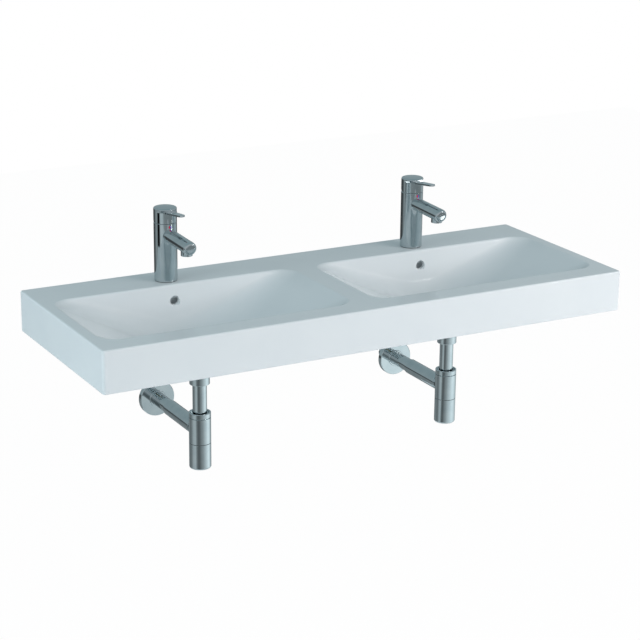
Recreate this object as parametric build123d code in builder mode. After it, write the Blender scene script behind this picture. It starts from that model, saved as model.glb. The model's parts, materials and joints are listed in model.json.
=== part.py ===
# Wall-hung double washbasin in glazed ceramic, with two single-lever mixers,
# two push-open wastes and two chromed bottle traps. All sizes are in millimetres.
import os
from math import cos, radians, sin, sqrt, tan
from build123d import *

os.makedirs("parts", exist_ok=True)

# X runs along the wall, -Y faces the user and +Z is up. The origin is on the wall face,
# midway along the basin, on the line of the wall fixings.

# Basin body
basin_width = 1300.0
basin_depth = 480.0
apron_height = 95.0
deck_above_fixings = 55.0
deck_thickness = 14.0
apron_thickness = 14.0
back_thickness = 16.0
corner_radius = 7.0
edge_radius = 4.0
foot_radius = 2.5
rib_thickness = 12.0

# Bowls: steep front and back walls, and long ramps that fall from the ends to the waste
bowl_spacing = 650.0
bowl_length = 597.0
bowl_depth = 115.0
back_deck = 113.0
front_band = 62.0
bowl_corner_radius = 45.0
bowl_corner_growth = 0.8
bowl_corner_easing = 40.0
rim_radius = 5.0
shell_thickness = 11.0
wall_draft = 0.12
floor_blend_height = 50.0
ramp_blend_height = 14.0
ramp_blend_run = 4.0
floor_half_length = 42.0
floor_half_width = 46.0
section_depths = (0.0, 0.22, 0.45, 0.66, 0.82, 0.93, 1.0)
largest_corner_share = 0.96

# Wall fixings
fixing_spacing = 280.0
fixing_hole_radius = 7.0
fixing_pad = 56.0
fixing_pad_thickness = 8.0

# Overflow
overflow_depth = 37.0
overflow_radius = 11.0
overflow_edge = 2.0
channel_height = 12.0
channel_width = 44.0
channel_skin = 9.0
duct_wall = 6.5
duct_turn = 0.84
duct_landing = 18.0

# Waste seat in the bowl
waste_setback = 245.0
waste_recess_radius = 33.0
waste_recess_depth = 3.0
waste_hole_radius = 23.0
boss_radius = 40.0

# Mixer body
tap_setback = 70.0
tap_hole_radius = 17.5
tap_radius = 26.5
tap_seal_thickness = 1.2
tap_seal_radius = 25.5
tap_body_height = 136.0
tap_cavity_radius = 21.5
spout_radius = 15.5
spout_height = 110.0
spout_reach = 137.0
spout_fall = 2.0
spout_end_radius = 7.0
spout_bore_radius = 10.5
spout_bore_overlap = 3.0
stud_radius = 4.0
stud_offset = 10.0
stud_engagement = 13.0
stud_length = 131.0
hose_thread_radius = 4.6
hose_thread_length = 16.0
hose_port_radius = 3.0
hose_spread = 7.5
hose_offset = -5.0
indicator_radius = 3.5
indicator_height = 129.0
indicator_depth = 1.0
indicator_proud = 0.4

# Cartridge with its turning carrier and tilting spindle
cartridge_seat = 94.0
cartridge_radius = 17.5
cartridge_height = 30.0
cartridge_neck_radius = 15.5
cartridge_neck_height = 10.0
cartridge_nut_radius = 19.8
cartridge_nut_height = 7.0
carrier_radius = 12.0
carrier_depth = 2.0
carrier_top = 137.0
pivot_height = 133.0
pivot_pin_radius = 2.0
pivot_pin_length = 20.0
spindle_size = 8.0
spindle_bottom = 126.5
spindle_top = 155.5
lever_travel = 20.0
lever_spare_angle = 1.5

# Handle
handle_gap = 0.6
handle_top = 172.0
handle_crown = 1.5
handle_edge_radius = 3.5
handle_wall = 3.5
handle_ceiling = 158.0
handle_boss_radius = 9.0
handle_boss_bottom = 144.0
slot_floor = 162.0
slot_top = 167.5
slot_setback = 9.0
lever_reach = 97.0
lever_root_width = 25.0
lever_tip_width = 15.0
lever_thickness = 4.8
lever_height = 156.5
lever_rise = 7.0
grub_radius = 2.5
grub_length = 4.5
grub_height = 150.0

# Aerator
aerator_setback = 114.0
aerator_radius = 13.2
aerator_wall = 2.2
aerator_bottom = 85.5
aerator_top = 98.5
aerator_insert_height = 9.0
aerator_insert_inset = 1.0
jet_hole_radius = 1.1
jet_ring_radius = 6.0
jet_count = 8

# Tap fixing under the deck
clamp_radius = 21.0
clamp_slot_width = 28.0
clamp_slot_start = 1.0
rubber_washer_thickness = 3.0
clamp_plate_thickness = 2.0
tap_nut_flats = 13.0
tap_nut_height = 8.0

# Waste valve
flange_radius = 31.5
flange_thickness = 2.0
upper_seal_thickness = 1.5
waste_thread_radius = 20.9
waste_bore_radius = 18.4
waste_length = 74.0
waste_window_width = 16.0
waste_window_height = 14.0
spider_drop = 22.0
spider_height = 6.0
spider_web = 3.0
spider_bite = 0.75
spider_hub_radius = 9.8
click_radius = 7.5
click_length = 30.0
click_bore_depth = 22.0
lower_seal_thickness = 3.0
lower_seal_radius = 28.0
back_nut_flats = 54.0
back_nut_height = 9.0
plug_travel = 8.0
plug_radius = 31.0
plug_thickness = 4.0
plug_crown = 1.6
plug_stem_radius = 3.0
plug_stem_room = 1.3
plug_seal_radius = 26.0
plug_seal_width = 3.0
plug_seal_height = 1.6
plug_seal_proud = 0.7

# Trap
tube_radius = 16.0
tube_wall = 1.0
plating = 0.2
slip_nut_radius = 23.0
slip_nut_height = 23.0
slip_nut_lip = 2.0
slip_nut_edge = 1.5
inlet_seal_height = 3.0
inlet_tube_top = -182.0
inlet_tube_bottom = -345.0
trap_radius = 25.0
trap_top = -262.0
trap_nut_height = 11.0
trap_nut_rim = 4.0
trap_nut_recess = 7.0
trap_nut_edge = 1.0
trap_groove = 1.5
trap_thread_radius = 21.9
trap_thread_length = 8.0
trap_seal_height = 3.0
trap_ledge = 3.0
trap_wall = 2.0
trap_head_bottom = -334.0
trap_spigot_length = 10.0
trap_spigot_wall = 2.0
trap_cup_bottom = -395.0
trap_cup_edge = 4.0
cup_seal_height = 0.9
outlet_drop = 44.0
outlet_boss_radius = 17.4
outlet_boss_reach = 33.0
collar_radius = 18.4
collar_start = 28.5
collar_length = 133.0
arm_start = 26.0
tail_length = 45.0

# Wall rosette
rosette_radius = 43.0
rosette_thickness = 12.0
rosette_wall = 2.5
rosette_hub_radius = 20.0
rosette_lip = 3.0
rosette_hub_setback = 1.0
rosette_ring_height = 2.5
rosette_ring_width = 1.6

# Clearances
thread_gap = 0.1
slide_gap = 0.05
loose_gap = 0.3
seat_gap = 0.1
overcut = 1.0

# Places worked out from the sizes above
deck_z = deck_above_fixings
tap_cavity_top = cartridge_seat - hose_thread_length
apron_bottom = deck_z - apron_height
stations = {"left": -bowl_spacing / 2, "right": bowl_spacing / 2}
seat_depth = bowl_depth + waste_recess_depth
boss_depth = seat_depth + channel_skin + channel_height + duct_wall
waste_top = -seat_depth + upper_seal_thickness
waste_bottom = waste_top - waste_length
outlet_height = trap_top - outlet_drop


def upright(x, setback):
    """Plane whose local x is the radius and local y the height over the deck."""
    return Plane(origin=(x, -setback, deck_z), x_dir=(1, 0, 0), z_dir=(0, -1, 0))


def outward(x, height):
    """Plane whose local x is the radius and local y runs along +Y, from the wall."""
    return Plane(origin=(x, 0, deck_z + height), x_dir=(1, 0, 0), z_dir=(0, 0, 1))


def turn(plane, outline, mode=Mode.ADD):
    """Turn a closed outline of (radius, distance) points about the plane's local y axis."""
    with BuildSketch(plane) as half:
        with BuildLine():
            Polyline(*outline, close=True)
        make_face()
    revolve(half.sketch, axis=Axis(plane.origin, plane.y_dir), mode=mode)


def tube(plane, inner, outer, low, high, mode=Mode.ADD):
    """A ring between two radii and two distances along the plane's local y axis."""
    turn(plane, [(inner, low), (outer, low), (outer, high), (inner, high)], mode)


def rod(plane, radius, low, high, mode=Mode.ADD):
    """A plain cylinder along the plane's local y axis."""
    tube(plane, 0, radius, low, high, mode)


def round_edges(builder, radius):
    """Round edges of one radius, from the lowest to the highest."""
    circles = builder.edges().filter_by(GeomType.CIRCLE)
    return circles.filter_by(lambda edge: abs(edge.radius - radius) < 0.01).sort_by(Axis.Z)


def keep(part, name):
    """Label a finished piece and write its STEP file."""
    part.label = name
    export_step(part, f"parts/{name}.step")


def horseshoe(x, bottom, thickness):
    """A washer round the tap's stud, open at the front for the two hoses."""
    with BuildSketch(Plane((x, -tap_setback, deck_z + bottom))) as washer:
        Circle(clamp_radius)
        with Locations((0, clamp_slot_start - clamp_radius)):
            Rectangle(clamp_slot_width, 2 * clamp_radius, mode=Mode.SUBTRACT)
        with Locations((0, stud_offset)):
            Circle(stud_radius + loose_gap, mode=Mode.SUBTRACT)
    extrude(washer.sketch, amount=thickness)


def hexagon_nut(x, setback, top, flats, bore, height):
    """A plain hexagon nut under a seat at this height over the deck."""
    with BuildSketch(Plane((x, -setback, deck_z + top))) as nut:
        RegularPolygon(flats / 2, 6, major_radius=False)
        Circle(bore, mode=Mode.SUBTRACT)
    extrude(nut.sketch, amount=-height)


def rounding(depth, start):
    """Share of a blend's run that is used at this depth, along a quarter ellipse."""
    share = min(max((depth - start) / (bowl_depth - start), 0.0), 1.0)
    return 1 - sqrt(1 - share * share)


def bowl_sides(depth):
    """Half length, back and front edge of the bowl at a depth below the deck."""
    ramp_run = bowl_length / 2 - floor_half_length - ramp_blend_run
    half = bowl_length / 2 - ramp_run * depth / bowl_depth
    half -= ramp_blend_run * rounding(depth, bowl_depth - ramp_blend_height)
    blend = rounding(depth, bowl_depth - floor_blend_height)
    back_run = waste_setback - floor_half_width - back_deck - wall_draft * bowl_depth
    front_edge = basin_depth - front_band
    front_run = front_edge - waste_setback - floor_half_width - wall_draft * bowl_depth
    back = -back_deck - wall_draft * depth - back_run * blend
    front = -front_edge + wall_draft * depth + front_run * blend
    return half, back, front


def bowl_back(depth):
    """Y of the bowl's back wall at a depth below the deck."""
    return bowl_sides(depth)[1]


def corner_size(depth, half, width):
    """Corner radius, which grows with depth and eases into the largest that fits."""
    wanted = bowl_corner_radius + bowl_corner_growth * depth
    largest = largest_corner_share * min(half, width / 2)
    nearness = max(1 - abs(wanted - largest) / bowl_corner_easing, 0)
    return min(wanted, largest) - bowl_corner_easing * nearness**2 / 4


def loft_bowl(x, grow, drop, mode):
    """Loft the bowl's sections, grown sideways and dropped, for its inside or its shell."""
    sections = []
    for share in section_depths:
        depth = share * bowl_depth
        half, back, front = bowl_sides(depth)
        width = back - front
        radius = corner_size(depth, half, width)
        plane = Plane(origin=(x, (back + front) / 2, deck_z - depth - drop))
        with BuildSketch(plane) as section:
            RectangleRounded(2 * (half + grow), width + 2 * grow, radius + grow)
        sections.append(section.sketch)
    loft(sections, mode=mode)


# Basin
channel_depth = seat_depth + channel_skin + channel_height / 2
duct_y = bowl_back(overflow_depth) + channel_skin + channel_height / 2
duct_line = [
    (duct_y, deck_z - overflow_depth),
    (duct_y, deck_z - duct_turn * bowl_depth),
    (bowl_back(bowl_depth) + duct_landing, deck_z - channel_depth),
    (-waste_setback + waste_hole_radius, deck_z - channel_depth),
]
with BuildPart() as basin:
    with BuildSketch(Plane.XY.offset(apron_bottom)):
        with Locations((0, -basin_depth / 2)):
            RectangleRounded(basin_width, basin_depth, corner_radius)
    extrude(amount=apron_height)
    fillet(basin.faces().sort_by(Axis.Z)[-1].edges(), edge_radius)
    fillet(basin.faces().sort_by(Axis.Z)[0].edges(), foot_radius)
    with BuildSketch(Plane.XY.offset(apron_bottom)):
        with Locations((0, -(basin_depth + back_thickness - apron_thickness) / 2)):
            Rectangle(
                basin_width - 2 * apron_thickness,
                basin_depth - back_thickness - apron_thickness,
            )
    extrude(amount=apron_height - deck_thickness, mode=Mode.SUBTRACT)
    with BuildSketch(Plane.XY.offset(apron_bottom + foot_radius)):
        with Locations((0, -basin_depth / 2)):
            Rectangle(rib_thickness, basin_depth - 2 * apron_thickness)
    extrude(amount=apron_height - deck_thickness)
    with BuildSketch(Plane.XZ.offset(back_thickness - overcut)):
        for x in stations.values():
            with Locations((x, 0)):
                with GridLocations(fixing_spacing, 1, 2, 1):
                    RectangleRounded(fixing_pad, fixing_pad, corner_radius)
    extrude(amount=fixing_pad_thickness + overcut)
    for x in stations.values():
        loft_bowl(x, shell_thickness, shell_thickness, Mode.ADD)
        rod(upright(x, waste_setback), boss_radius, -boss_depth, -bowl_depth)
        with BuildSketch(Plane.YZ.offset(x - channel_width / 2 - duct_wall)) as duct:
            with BuildLine() as duct_run:
                Polyline(*duct_line)
            trace(duct_run.line, line_width=channel_height + 2 * duct_wall)
        extrude(duct.sketch, amount=channel_width + 2 * duct_wall)
    for x in stations.values():
        loft_bowl(x, 0, 0, Mode.SUBTRACT)
        with BuildSketch(Plane.YZ.offset(x - channel_width / 2)) as channel:
            with BuildLine() as channel_run:
                Polyline(*duct_line)
            trace(channel_run.line, line_width=channel_height)
        extrude(channel.sketch, amount=channel_width, mode=Mode.SUBTRACT)
        rod(
            outward(x, -overflow_depth), overflow_radius,
            bowl_back(overflow_depth) - overflow_radius, duct_y, Mode.SUBTRACT,
        )
        drain = upright(x, waste_setback)
        rod(drain, waste_recess_radius, -seat_depth, -bowl_depth + overcut, Mode.SUBTRACT)
        rod(drain, waste_hole_radius, -boss_depth, -bowl_depth, Mode.SUBTRACT)
        rod(upright(x, tap_setback), tap_hole_radius, -deck_thickness, 0, Mode.SUBTRACT)
    fixing_reach = back_thickness + fixing_pad_thickness
    with BuildSketch(Plane.XZ):
        for x in stations.values():
            with Locations((x, 0)):
                with GridLocations(fixing_spacing, 1, 2, 1):
                    Circle(fixing_hole_radius)
    extrude(amount=fixing_reach, mode=Mode.SUBTRACT)
    deck_loops = basin.faces().sort_by(Axis.Z)[-1].inner_wires()
    rims = [loop for loop in deck_loops if loop.length > bowl_length]
    for loop in rims:
        fillet(loop.edges(), rim_radius)
    for x in stations.values():
        mouth = (x, bowl_back(overflow_depth) - overflow_radius, deck_z - overflow_depth)
        loops = basin.edges().filter_by(lambda edge: edge.is_closed)
        fillet(loops.sort_by_distance(mouth)[0], overflow_edge)
keep(basin.part, "basin")

# Fixing pieces under the deck, one of each for either tap
under_deck = -deck_thickness - rubber_washer_thickness - clamp_plate_thickness
stud_top = tap_cavity_top + stud_engagement

with BuildPart() as tap_base_seals:
    for x in stations.values():
        tube(upright(x, tap_setback), tap_hole_radius, tap_seal_radius, 0, tap_seal_thickness)
keep(tap_base_seals.part, "tap_base_seals")

with BuildPart() as tap_rubber_washers:
    for x in stations.values():
        horseshoe(x, -deck_thickness - rubber_washer_thickness, rubber_washer_thickness)
keep(tap_rubber_washers.part, "tap_rubber_washers")

with BuildPart() as tap_clamp_plates:
    for x in stations.values():
        horseshoe(x, under_deck, clamp_plate_thickness)
keep(tap_clamp_plates.part, "tap_clamp_plates")

with BuildPart() as tap_nuts:
    for x in stations.values():
        bore = stud_radius + thread_gap
        hexagon_nut(x, tap_setback - stud_offset, under_deck, tap_nut_flats, bore, tap_nut_height)
keep(tap_nuts.part, "tap_nuts")

with BuildPart() as tap_studs:
    for x in stations.values():
        rod(upright(x, tap_setback - stud_offset), stud_radius, stud_top - stud_length, stud_top)
keep(tap_studs.part, "tap_studs")

# Waste pieces that both bowls share in kind
with BuildPart() as waste_upper_seals:
    for x in stations.values():
        drain = upright(x, waste_setback)
        tube(drain, waste_thread_radius + thread_gap, flange_radius, -seat_depth, waste_top)
keep(waste_upper_seals.part, "waste_upper_seals")

with BuildPart() as waste_lower_seals:
    for x in stations.values():
        drain = upright(x, waste_setback)
        inner = waste_thread_radius + thread_gap
        tube(drain, inner, lower_seal_radius, -boss_depth - lower_seal_thickness, -boss_depth)
keep(waste_lower_seals.part, "waste_lower_seals")

back_nut_top = -boss_depth - lower_seal_thickness
with BuildPart() as waste_back_nuts:
    for x in stations.values():
        bore = waste_thread_radius + thread_gap
        hexagon_nut(x, waste_setback, back_nut_top, back_nut_flats, bore, back_nut_height)
keep(waste_back_nuts.part, "waste_back_nuts")

inlet_seal_bottom = waste_bottom - inlet_seal_height
pipe_radius = tube_radius + plating
with BuildPart() as trap_inlet_seals:
    for x in stations.values():
        drain = upright(x, waste_setback)
        inner = pipe_radius + slide_gap
        tube(drain, inner, waste_thread_radius - thread_gap, inlet_seal_bottom, waste_bottom)
keep(trap_inlet_seals.part, "trap_inlet_seals")

trap_nut_bottom = trap_top - trap_nut_height
trap_seal_top = trap_nut_bottom - trap_thread_length
trap_seal_bottom = trap_seal_top - trap_seal_height
with BuildPart() as trap_top_seals:
    for x in stations.values():
        drain = upright(x, waste_setback)
        inner = pipe_radius + slide_gap
        tube(drain, inner, trap_thread_radius - thread_gap, trap_seal_bottom, trap_seal_top)
keep(trap_top_seals.part, "trap_top_seals")

for side, x in stations.items():
    tap = upright(x, tap_setback)
    drain = upright(x, waste_setback)
    outlet = outward(x, outlet_height)

    # Mixer body with its fixed spout, water ways and cartridge seat
    spout_way = (0, -cos(radians(spout_fall)), -sin(radians(spout_fall)))
    spout_plane = Plane(
        origin=(x, -tap_setback, deck_z + spout_height), x_dir=(1, 0, 0), z_dir=spout_way
    )
    nozzle = upright(x, tap_setback + aerator_setback)
    front = -tap_setback - tap_radius
    indicator_plane = outward(x, indicator_height)
    with BuildPart() as tap_body:
        with BuildSketch(spout_plane) as spout:
            Circle(spout_radius)
        extrude(spout.sketch, amount=spout_reach)
        fillet(tap_body.faces().sort_by(Axis.Y)[0].edges(), spout_end_radius)
        rod(tap, tap_radius, tap_seal_thickness, tap_body_height)
        rod(tap, tap_cavity_radius, tap_seal_thickness, tap_cavity_top, Mode.SUBTRACT)
        seat_bore = cartridge_radius + thread_gap
        rod(tap, seat_bore, cartridge_seat, tap_body_height, Mode.SUBTRACT)
        nut_bore = cartridge_nut_radius + thread_gap
        nut_seat = cartridge_seat + cartridge_height
        rod(tap, nut_bore, nut_seat, tap_body_height, Mode.SUBTRACT)
        waterway_start = cartridge_radius - spout_bore_overlap
        waterway_length = aerator_setback + aerator_radius / 2 - waterway_start
        with BuildSketch(spout_plane.offset(waterway_start)) as waterway:
            Circle(spout_bore_radius)
        extrude(waterway.sketch, amount=waterway_length, mode=Mode.SUBTRACT)
        socket = aerator_radius + thread_gap
        rod(nozzle, socket, aerator_bottom, aerator_top, Mode.SUBTRACT)
        stud_bore = stud_radius + thread_gap
        stud_axis = upright(x, tap_setback - stud_offset)
        rod(stud_axis, stud_bore, tap_cavity_top, stud_top + overcut, Mode.SUBTRACT)
        for side_way in (-hose_spread, hose_spread):
            hose = upright(x + side_way, tap_setback - hose_offset)
            rod(hose, hose_thread_radius, tap_cavity_top, cartridge_seat, Mode.SUBTRACT)
        indicator_bore = indicator_radius + slide_gap
        indicator_back = front + indicator_depth
        rod(indicator_plane, indicator_bore, front - overcut, indicator_back, Mode.SUBTRACT)
    keep(tap_body.part, f"tap_body_{side}")

    # Indicator button
    with BuildPart() as tap_indicator:
        rod(indicator_plane, indicator_radius, front - indicator_proud, indicator_back)
    keep(tap_indicator.part, f"tap_indicator_{side}")

    # Ceramic disc cartridge, held down by a ring nut
    neck_bottom = cartridge_seat + cartridge_height
    neck_top = neck_bottom + cartridge_neck_height
    carrier_bottom = neck_bottom - carrier_depth
    with BuildPart() as tap_cartridge:
        rod(tap, cartridge_radius, cartridge_seat, neck_bottom)
        rod(tap, cartridge_neck_radius, neck_bottom, neck_top)
        rod(tap, carrier_radius + slide_gap, carrier_bottom, neck_top, Mode.SUBTRACT)
        for side_way in (-hose_spread, hose_spread):
            hose = upright(x + side_way, tap_setback - hose_offset)
            port_top = cartridge_seat + hose_port_radius
            rod(hose, hose_port_radius, cartridge_seat, port_top, Mode.SUBTRACT)
    keep(tap_cartridge.part, f"tap_cartridge_{side}")

    with BuildPart() as cartridge_nut:
        inner = cartridge_neck_radius + thread_gap
        tube(tap, inner, cartridge_nut_radius, neck_bottom, neck_bottom + cartridge_nut_height)
    keep(cartridge_nut.part, f"cartridge_nut_{side}")

    # Carrier, which turns in the cartridge and holds the spindle's pin
    carrier_centre = Plane((x, -tap_setback, deck_z + carrier_bottom + seat_gap))
    pivot = Plane(
        origin=(x, -tap_setback, deck_z + pivot_height), x_dir=(0, 1, 0), z_dir=(1, 0, 0)
    )
    sweep_room = (pivot_height - spindle_bottom) * sin(radians(lever_travel)) + loose_gap
    with BuildPart() as tap_carrier:
        with BuildSketch(carrier_centre) as carrier_outline:
            Circle(carrier_radius)
            Rectangle(
                spindle_size + 2 * seat_gap,
                spindle_size + 2 * sweep_room,
                mode=Mode.SUBTRACT,
            )
        extrude(carrier_outline.sketch, amount=carrier_top - carrier_bottom - seat_gap)
        with BuildSketch(pivot) as pin_bore:
            Circle(pivot_pin_radius + slide_gap)
        extrude(
            pin_bore.sketch,
            amount=pivot_pin_length / 2 + seat_gap,
            both=True,
            mode=Mode.SUBTRACT,
        )
    keep(tap_carrier.part, f"tap_carrier_{side}")

    # Spindle with its cross pin
    with BuildPart() as tap_spindle:
        with BuildSketch(Plane((x, -tap_setback, deck_z + spindle_bottom))) as stem:
            Rectangle(spindle_size, spindle_size)
        extrude(stem.sketch, amount=spindle_top - spindle_bottom)
        with BuildSketch(pivot) as cross_pin:
            Circle(pivot_pin_radius)
        extrude(cross_pin.sketch, amount=pivot_pin_length / 2, both=True)
    keep(tap_spindle.part, f"tap_spindle_{side}")

    # Handle: a hollow cap with a slot under its roof, where the lever comes out
    handle_bottom = tap_body_height + handle_gap
    rise = radians(lever_rise)
    lever_plane = Plane(
        origin=(x, -tap_setback, deck_z + lever_height),
        x_dir=(1, 0, 0), z_dir=(0, sin(rise), cos(rise)),
    )
    with BuildPart() as tap_handle:
        with BuildSketch(tap) as cap:
            with BuildLine():
                Polyline(
                    (0, handle_top),
                    (0, handle_ceiling),
                    (tap_radius - handle_wall, handle_ceiling),
                    (tap_radius - handle_wall, handle_bottom),
                    (tap_radius, handle_bottom),
                    (tap_radius, handle_top - handle_crown),
                )
                TangentArc((0, handle_top), (tap_radius, handle_top - handle_crown), tangent=(1, 0))
            make_face()
        revolve(cap.sketch, axis=Axis(tap.origin, tap.y_dir))
        fillet(round_edges(tap_handle, tap_radius)[-1], handle_edge_radius)
        rod(tap, handle_boss_radius, handle_boss_bottom, handle_ceiling)
        with BuildSketch(Plane((x, -tap_setback, deck_z + slot_floor))) as slot:
            with Locations((0, -slot_setback - tap_radius / 2)):
                Rectangle(2 * tap_radius, tap_radius)
        extrude(slot.sketch, amount=slot_top - slot_floor, mode=Mode.SUBTRACT)
        with BuildSketch(lever_plane) as tongue:
            with BuildLine():
                Polyline(
                    (-lever_tip_width / 2, lever_tip_width / 2 - lever_reach),
                    (-lever_root_width / 2, -slot_setback / 2),
                    (lever_root_width / 2, -slot_setback / 2),
                    (lever_tip_width / 2, lever_tip_width / 2 - lever_reach),
                )
                ThreePointArc(
                    (-lever_tip_width / 2, lever_tip_width / 2 - lever_reach),
                    (0, -lever_reach),
                    (lever_tip_width / 2, lever_tip_width / 2 - lever_reach),
                )
            make_face()
        extrude(tongue.sketch, amount=lever_thickness)
        relief_reach = tap_radius + overcut
        relief_height = relief_reach * tan(radians(lever_travel + lever_spare_angle))
        with BuildSketch(Plane.YZ.offset(x - tap_radius)) as back_relief:
            with BuildLine():
                Polyline(
                    (-tap_setback, deck_z + handle_bottom),
                    (-tap_setback + relief_reach, deck_z + handle_bottom),
                    (-tap_setback + relief_reach, deck_z + handle_bottom + relief_height),
                    close=True,
                )
            make_face()
        extrude(back_relief.sketch, amount=2 * tap_radius, mode=Mode.SUBTRACT)
        with BuildSketch(Plane((x, -tap_setback, deck_z + handle_boss_bottom))) as stem_socket:
            Rectangle(spindle_size + 2 * slide_gap, spindle_size + 2 * slide_gap)
        extrude(
            stem_socket.sketch,
            amount=spindle_top - handle_boss_bottom + seat_gap,
            mode=Mode.SUBTRACT,
        )
        grub = outward(x, grub_height)
        rod(grub, grub_radius + thread_gap, -tap_setback, -tap_setback + tap_radius, Mode.SUBTRACT)
    keep(tap_handle.part, f"tap_handle_{side}")

    with BuildPart() as handle_screw:
        grub_start = -tap_setback + spindle_size / 2 + slide_gap
        rod(grub, grub_radius, grub_start, grub_start + grub_length)
    keep(handle_screw.part, f"handle_screw_{side}")

    # Aerator in the end of the spout
    with BuildPart() as aerator_housing:
        inner = aerator_radius - aerator_wall
        tube(nozzle, inner, aerator_radius, aerator_bottom, aerator_top - seat_gap)
    keep(aerator_housing.part, f"aerator_housing_{side}")

    insert_radius = aerator_radius - aerator_wall - slide_gap
    insert_bottom = aerator_bottom + aerator_insert_inset
    with BuildPart() as aerator_insert:
        rod(nozzle, insert_radius, insert_bottom, insert_bottom + aerator_insert_height)
        jet_plane = Plane((x, -tap_setback - aerator_setback, deck_z + insert_bottom))
        with BuildSketch(jet_plane) as jets:
            with PolarLocations(jet_ring_radius, jet_count):
                Circle(jet_hole_radius)
            Circle(jet_hole_radius)
        extrude(jets.sketch, amount=aerator_insert_height, mode=Mode.SUBTRACT)
    keep(aerator_insert.part, f"aerator_insert_{side}")

    # Waste valve: flanged tube with overflow windows and a spider for the click cartridge
    flange_top = waste_top + flange_thickness
    spider_top = -seat_depth - spider_drop
    with BuildPart() as waste_body:
        turn(drain, [
            (waste_bore_radius, waste_bottom),
            (waste_thread_radius, waste_bottom),
            (waste_thread_radius, waste_top),
            (flange_radius, waste_top),
            (flange_radius, flange_top - flange_thickness / 2),
            (flange_radius - flange_thickness / 2, flange_top),
            (waste_bore_radius + flange_thickness, flange_top),
            (waste_bore_radius, flange_top - flange_thickness),
        ])
        with BuildSketch(Plane.XZ.offset(waste_setback)) as window:
            with Locations((x, deck_z - channel_depth)):
                RectangleRounded(waste_window_width, waste_window_height, waste_window_height / 4)
        window_reach = waste_thread_radius + overcut
        extrude(window.sketch, amount=window_reach, both=True, mode=Mode.SUBTRACT)
        rod(drain, spider_hub_radius, spider_top - spider_height, spider_top)
        with BuildSketch(Plane((x, -waste_setback, deck_z + spider_top))) as webs:
            web_length = waste_bore_radius - spider_hub_radius
            web_middle = spider_hub_radius + web_length / 2
            with PolarLocations(web_middle, 3, start_angle=30):
                Rectangle(web_length + 2 * spider_bite, spider_web)
        extrude(webs.sketch, amount=-spider_height)
        rod(drain, click_radius + thread_gap, spider_top - spider_height, spider_top, Mode.SUBTRACT)
    keep(waste_body.part, f"waste_body_{side}")

    click_top = spider_top + click_length / 2
    with BuildPart() as waste_click:
        rod(drain, click_radius, click_top - click_length, click_top)
        rod(drain, spider_hub_radius, spider_top, spider_top + flange_thickness)
        bore = plug_stem_radius + slide_gap
        rod(drain, bore, click_top - click_bore_depth, click_top, Mode.SUBTRACT)
    keep(waste_click.part, f"waste_click_{side}")

    # Push-open plug, shown raised
    plug_bottom = flange_top + plug_seal_proud + seat_gap + plug_travel
    stem_bottom = click_top - click_bore_depth + plug_travel + plug_stem_room
    with BuildPart() as waste_plug:
        with BuildSketch(drain) as cap:
            with BuildLine():
                Polyline(
                    (0, plug_bottom + plug_thickness + plug_crown),
                    (0, stem_bottom),
                    (plug_stem_radius, stem_bottom),
                    (plug_stem_radius, plug_bottom),
                    (plug_radius, plug_bottom),
                    (plug_radius, plug_bottom + plug_thickness),
                )
                TangentArc(
                    (0, plug_bottom + plug_thickness + plug_crown),
                    (plug_radius, plug_bottom + plug_thickness),
                    tangent=(1, 0),
                )
            make_face()
        revolve(cap.sketch, axis=Axis(drain.origin, drain.y_dir))
        fillet(round_edges(waste_plug, plug_radius)[-1], plug_thickness / 2)
        tube(
            drain,
            plug_seal_radius - plug_seal_width - slide_gap,
            plug_seal_radius + slide_gap,
            plug_bottom,
            plug_bottom + plug_seal_height - plug_seal_proud,
            Mode.SUBTRACT,
        )
    keep(waste_plug.part, f"waste_plug_{side}")

    with BuildPart() as plug_seal:
        seal_bottom = plug_bottom - plug_seal_proud
        inner = plug_seal_radius - plug_seal_width
        tube(drain, inner, plug_seal_radius, seal_bottom, seal_bottom + plug_seal_height)
    keep(plug_seal.part, f"plug_seal_{side}")

    # Slip nut that holds the trap's inlet tube to the waste
    slip_nut_bottom = inlet_seal_bottom - slip_nut_lip
    with BuildPart() as slip_nut:
        turn(drain, [
            (pipe_radius + loose_gap, slip_nut_bottom),
            (slip_nut_radius, slip_nut_bottom),
            (slip_nut_radius, slip_nut_bottom + slip_nut_height),
            (waste_thread_radius + thread_gap, slip_nut_bottom + slip_nut_height),
            (waste_thread_radius + thread_gap, inlet_seal_bottom),
            (pipe_radius + loose_gap, inlet_seal_bottom),
        ])
        fillet(round_edges(slip_nut, slip_nut_radius), slip_nut_edge)
    keep(slip_nut.part, f"slip_nut_{side}")

    with BuildPart() as inlet_tube:
        tube(drain, pipe_radius - tube_wall, pipe_radius, inlet_tube_bottom, inlet_tube_top)
    keep(inlet_tube.part, f"inlet_tube_{side}")

    # Trap nut, an open ring round the inlet tube
    with BuildPart() as trap_nut:
        turn(drain, [
            (pipe_radius + loose_gap, trap_seal_top),
            (trap_thread_radius, trap_seal_top),
            (trap_thread_radius, trap_nut_bottom),
            (trap_radius, trap_nut_bottom),
            (trap_radius, trap_top),
            (trap_radius - trap_nut_rim, trap_top),
            (trap_radius - trap_nut_rim, trap_top - trap_nut_recess),
            (pipe_radius + loose_gap, trap_top - trap_nut_recess),
        ])
        fillet(trap_nut.faces().sort_by(Axis.Z)[-1].edges(), trap_nut_edge)
    keep(trap_nut.part, f"trap_nut_{side}")

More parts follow.
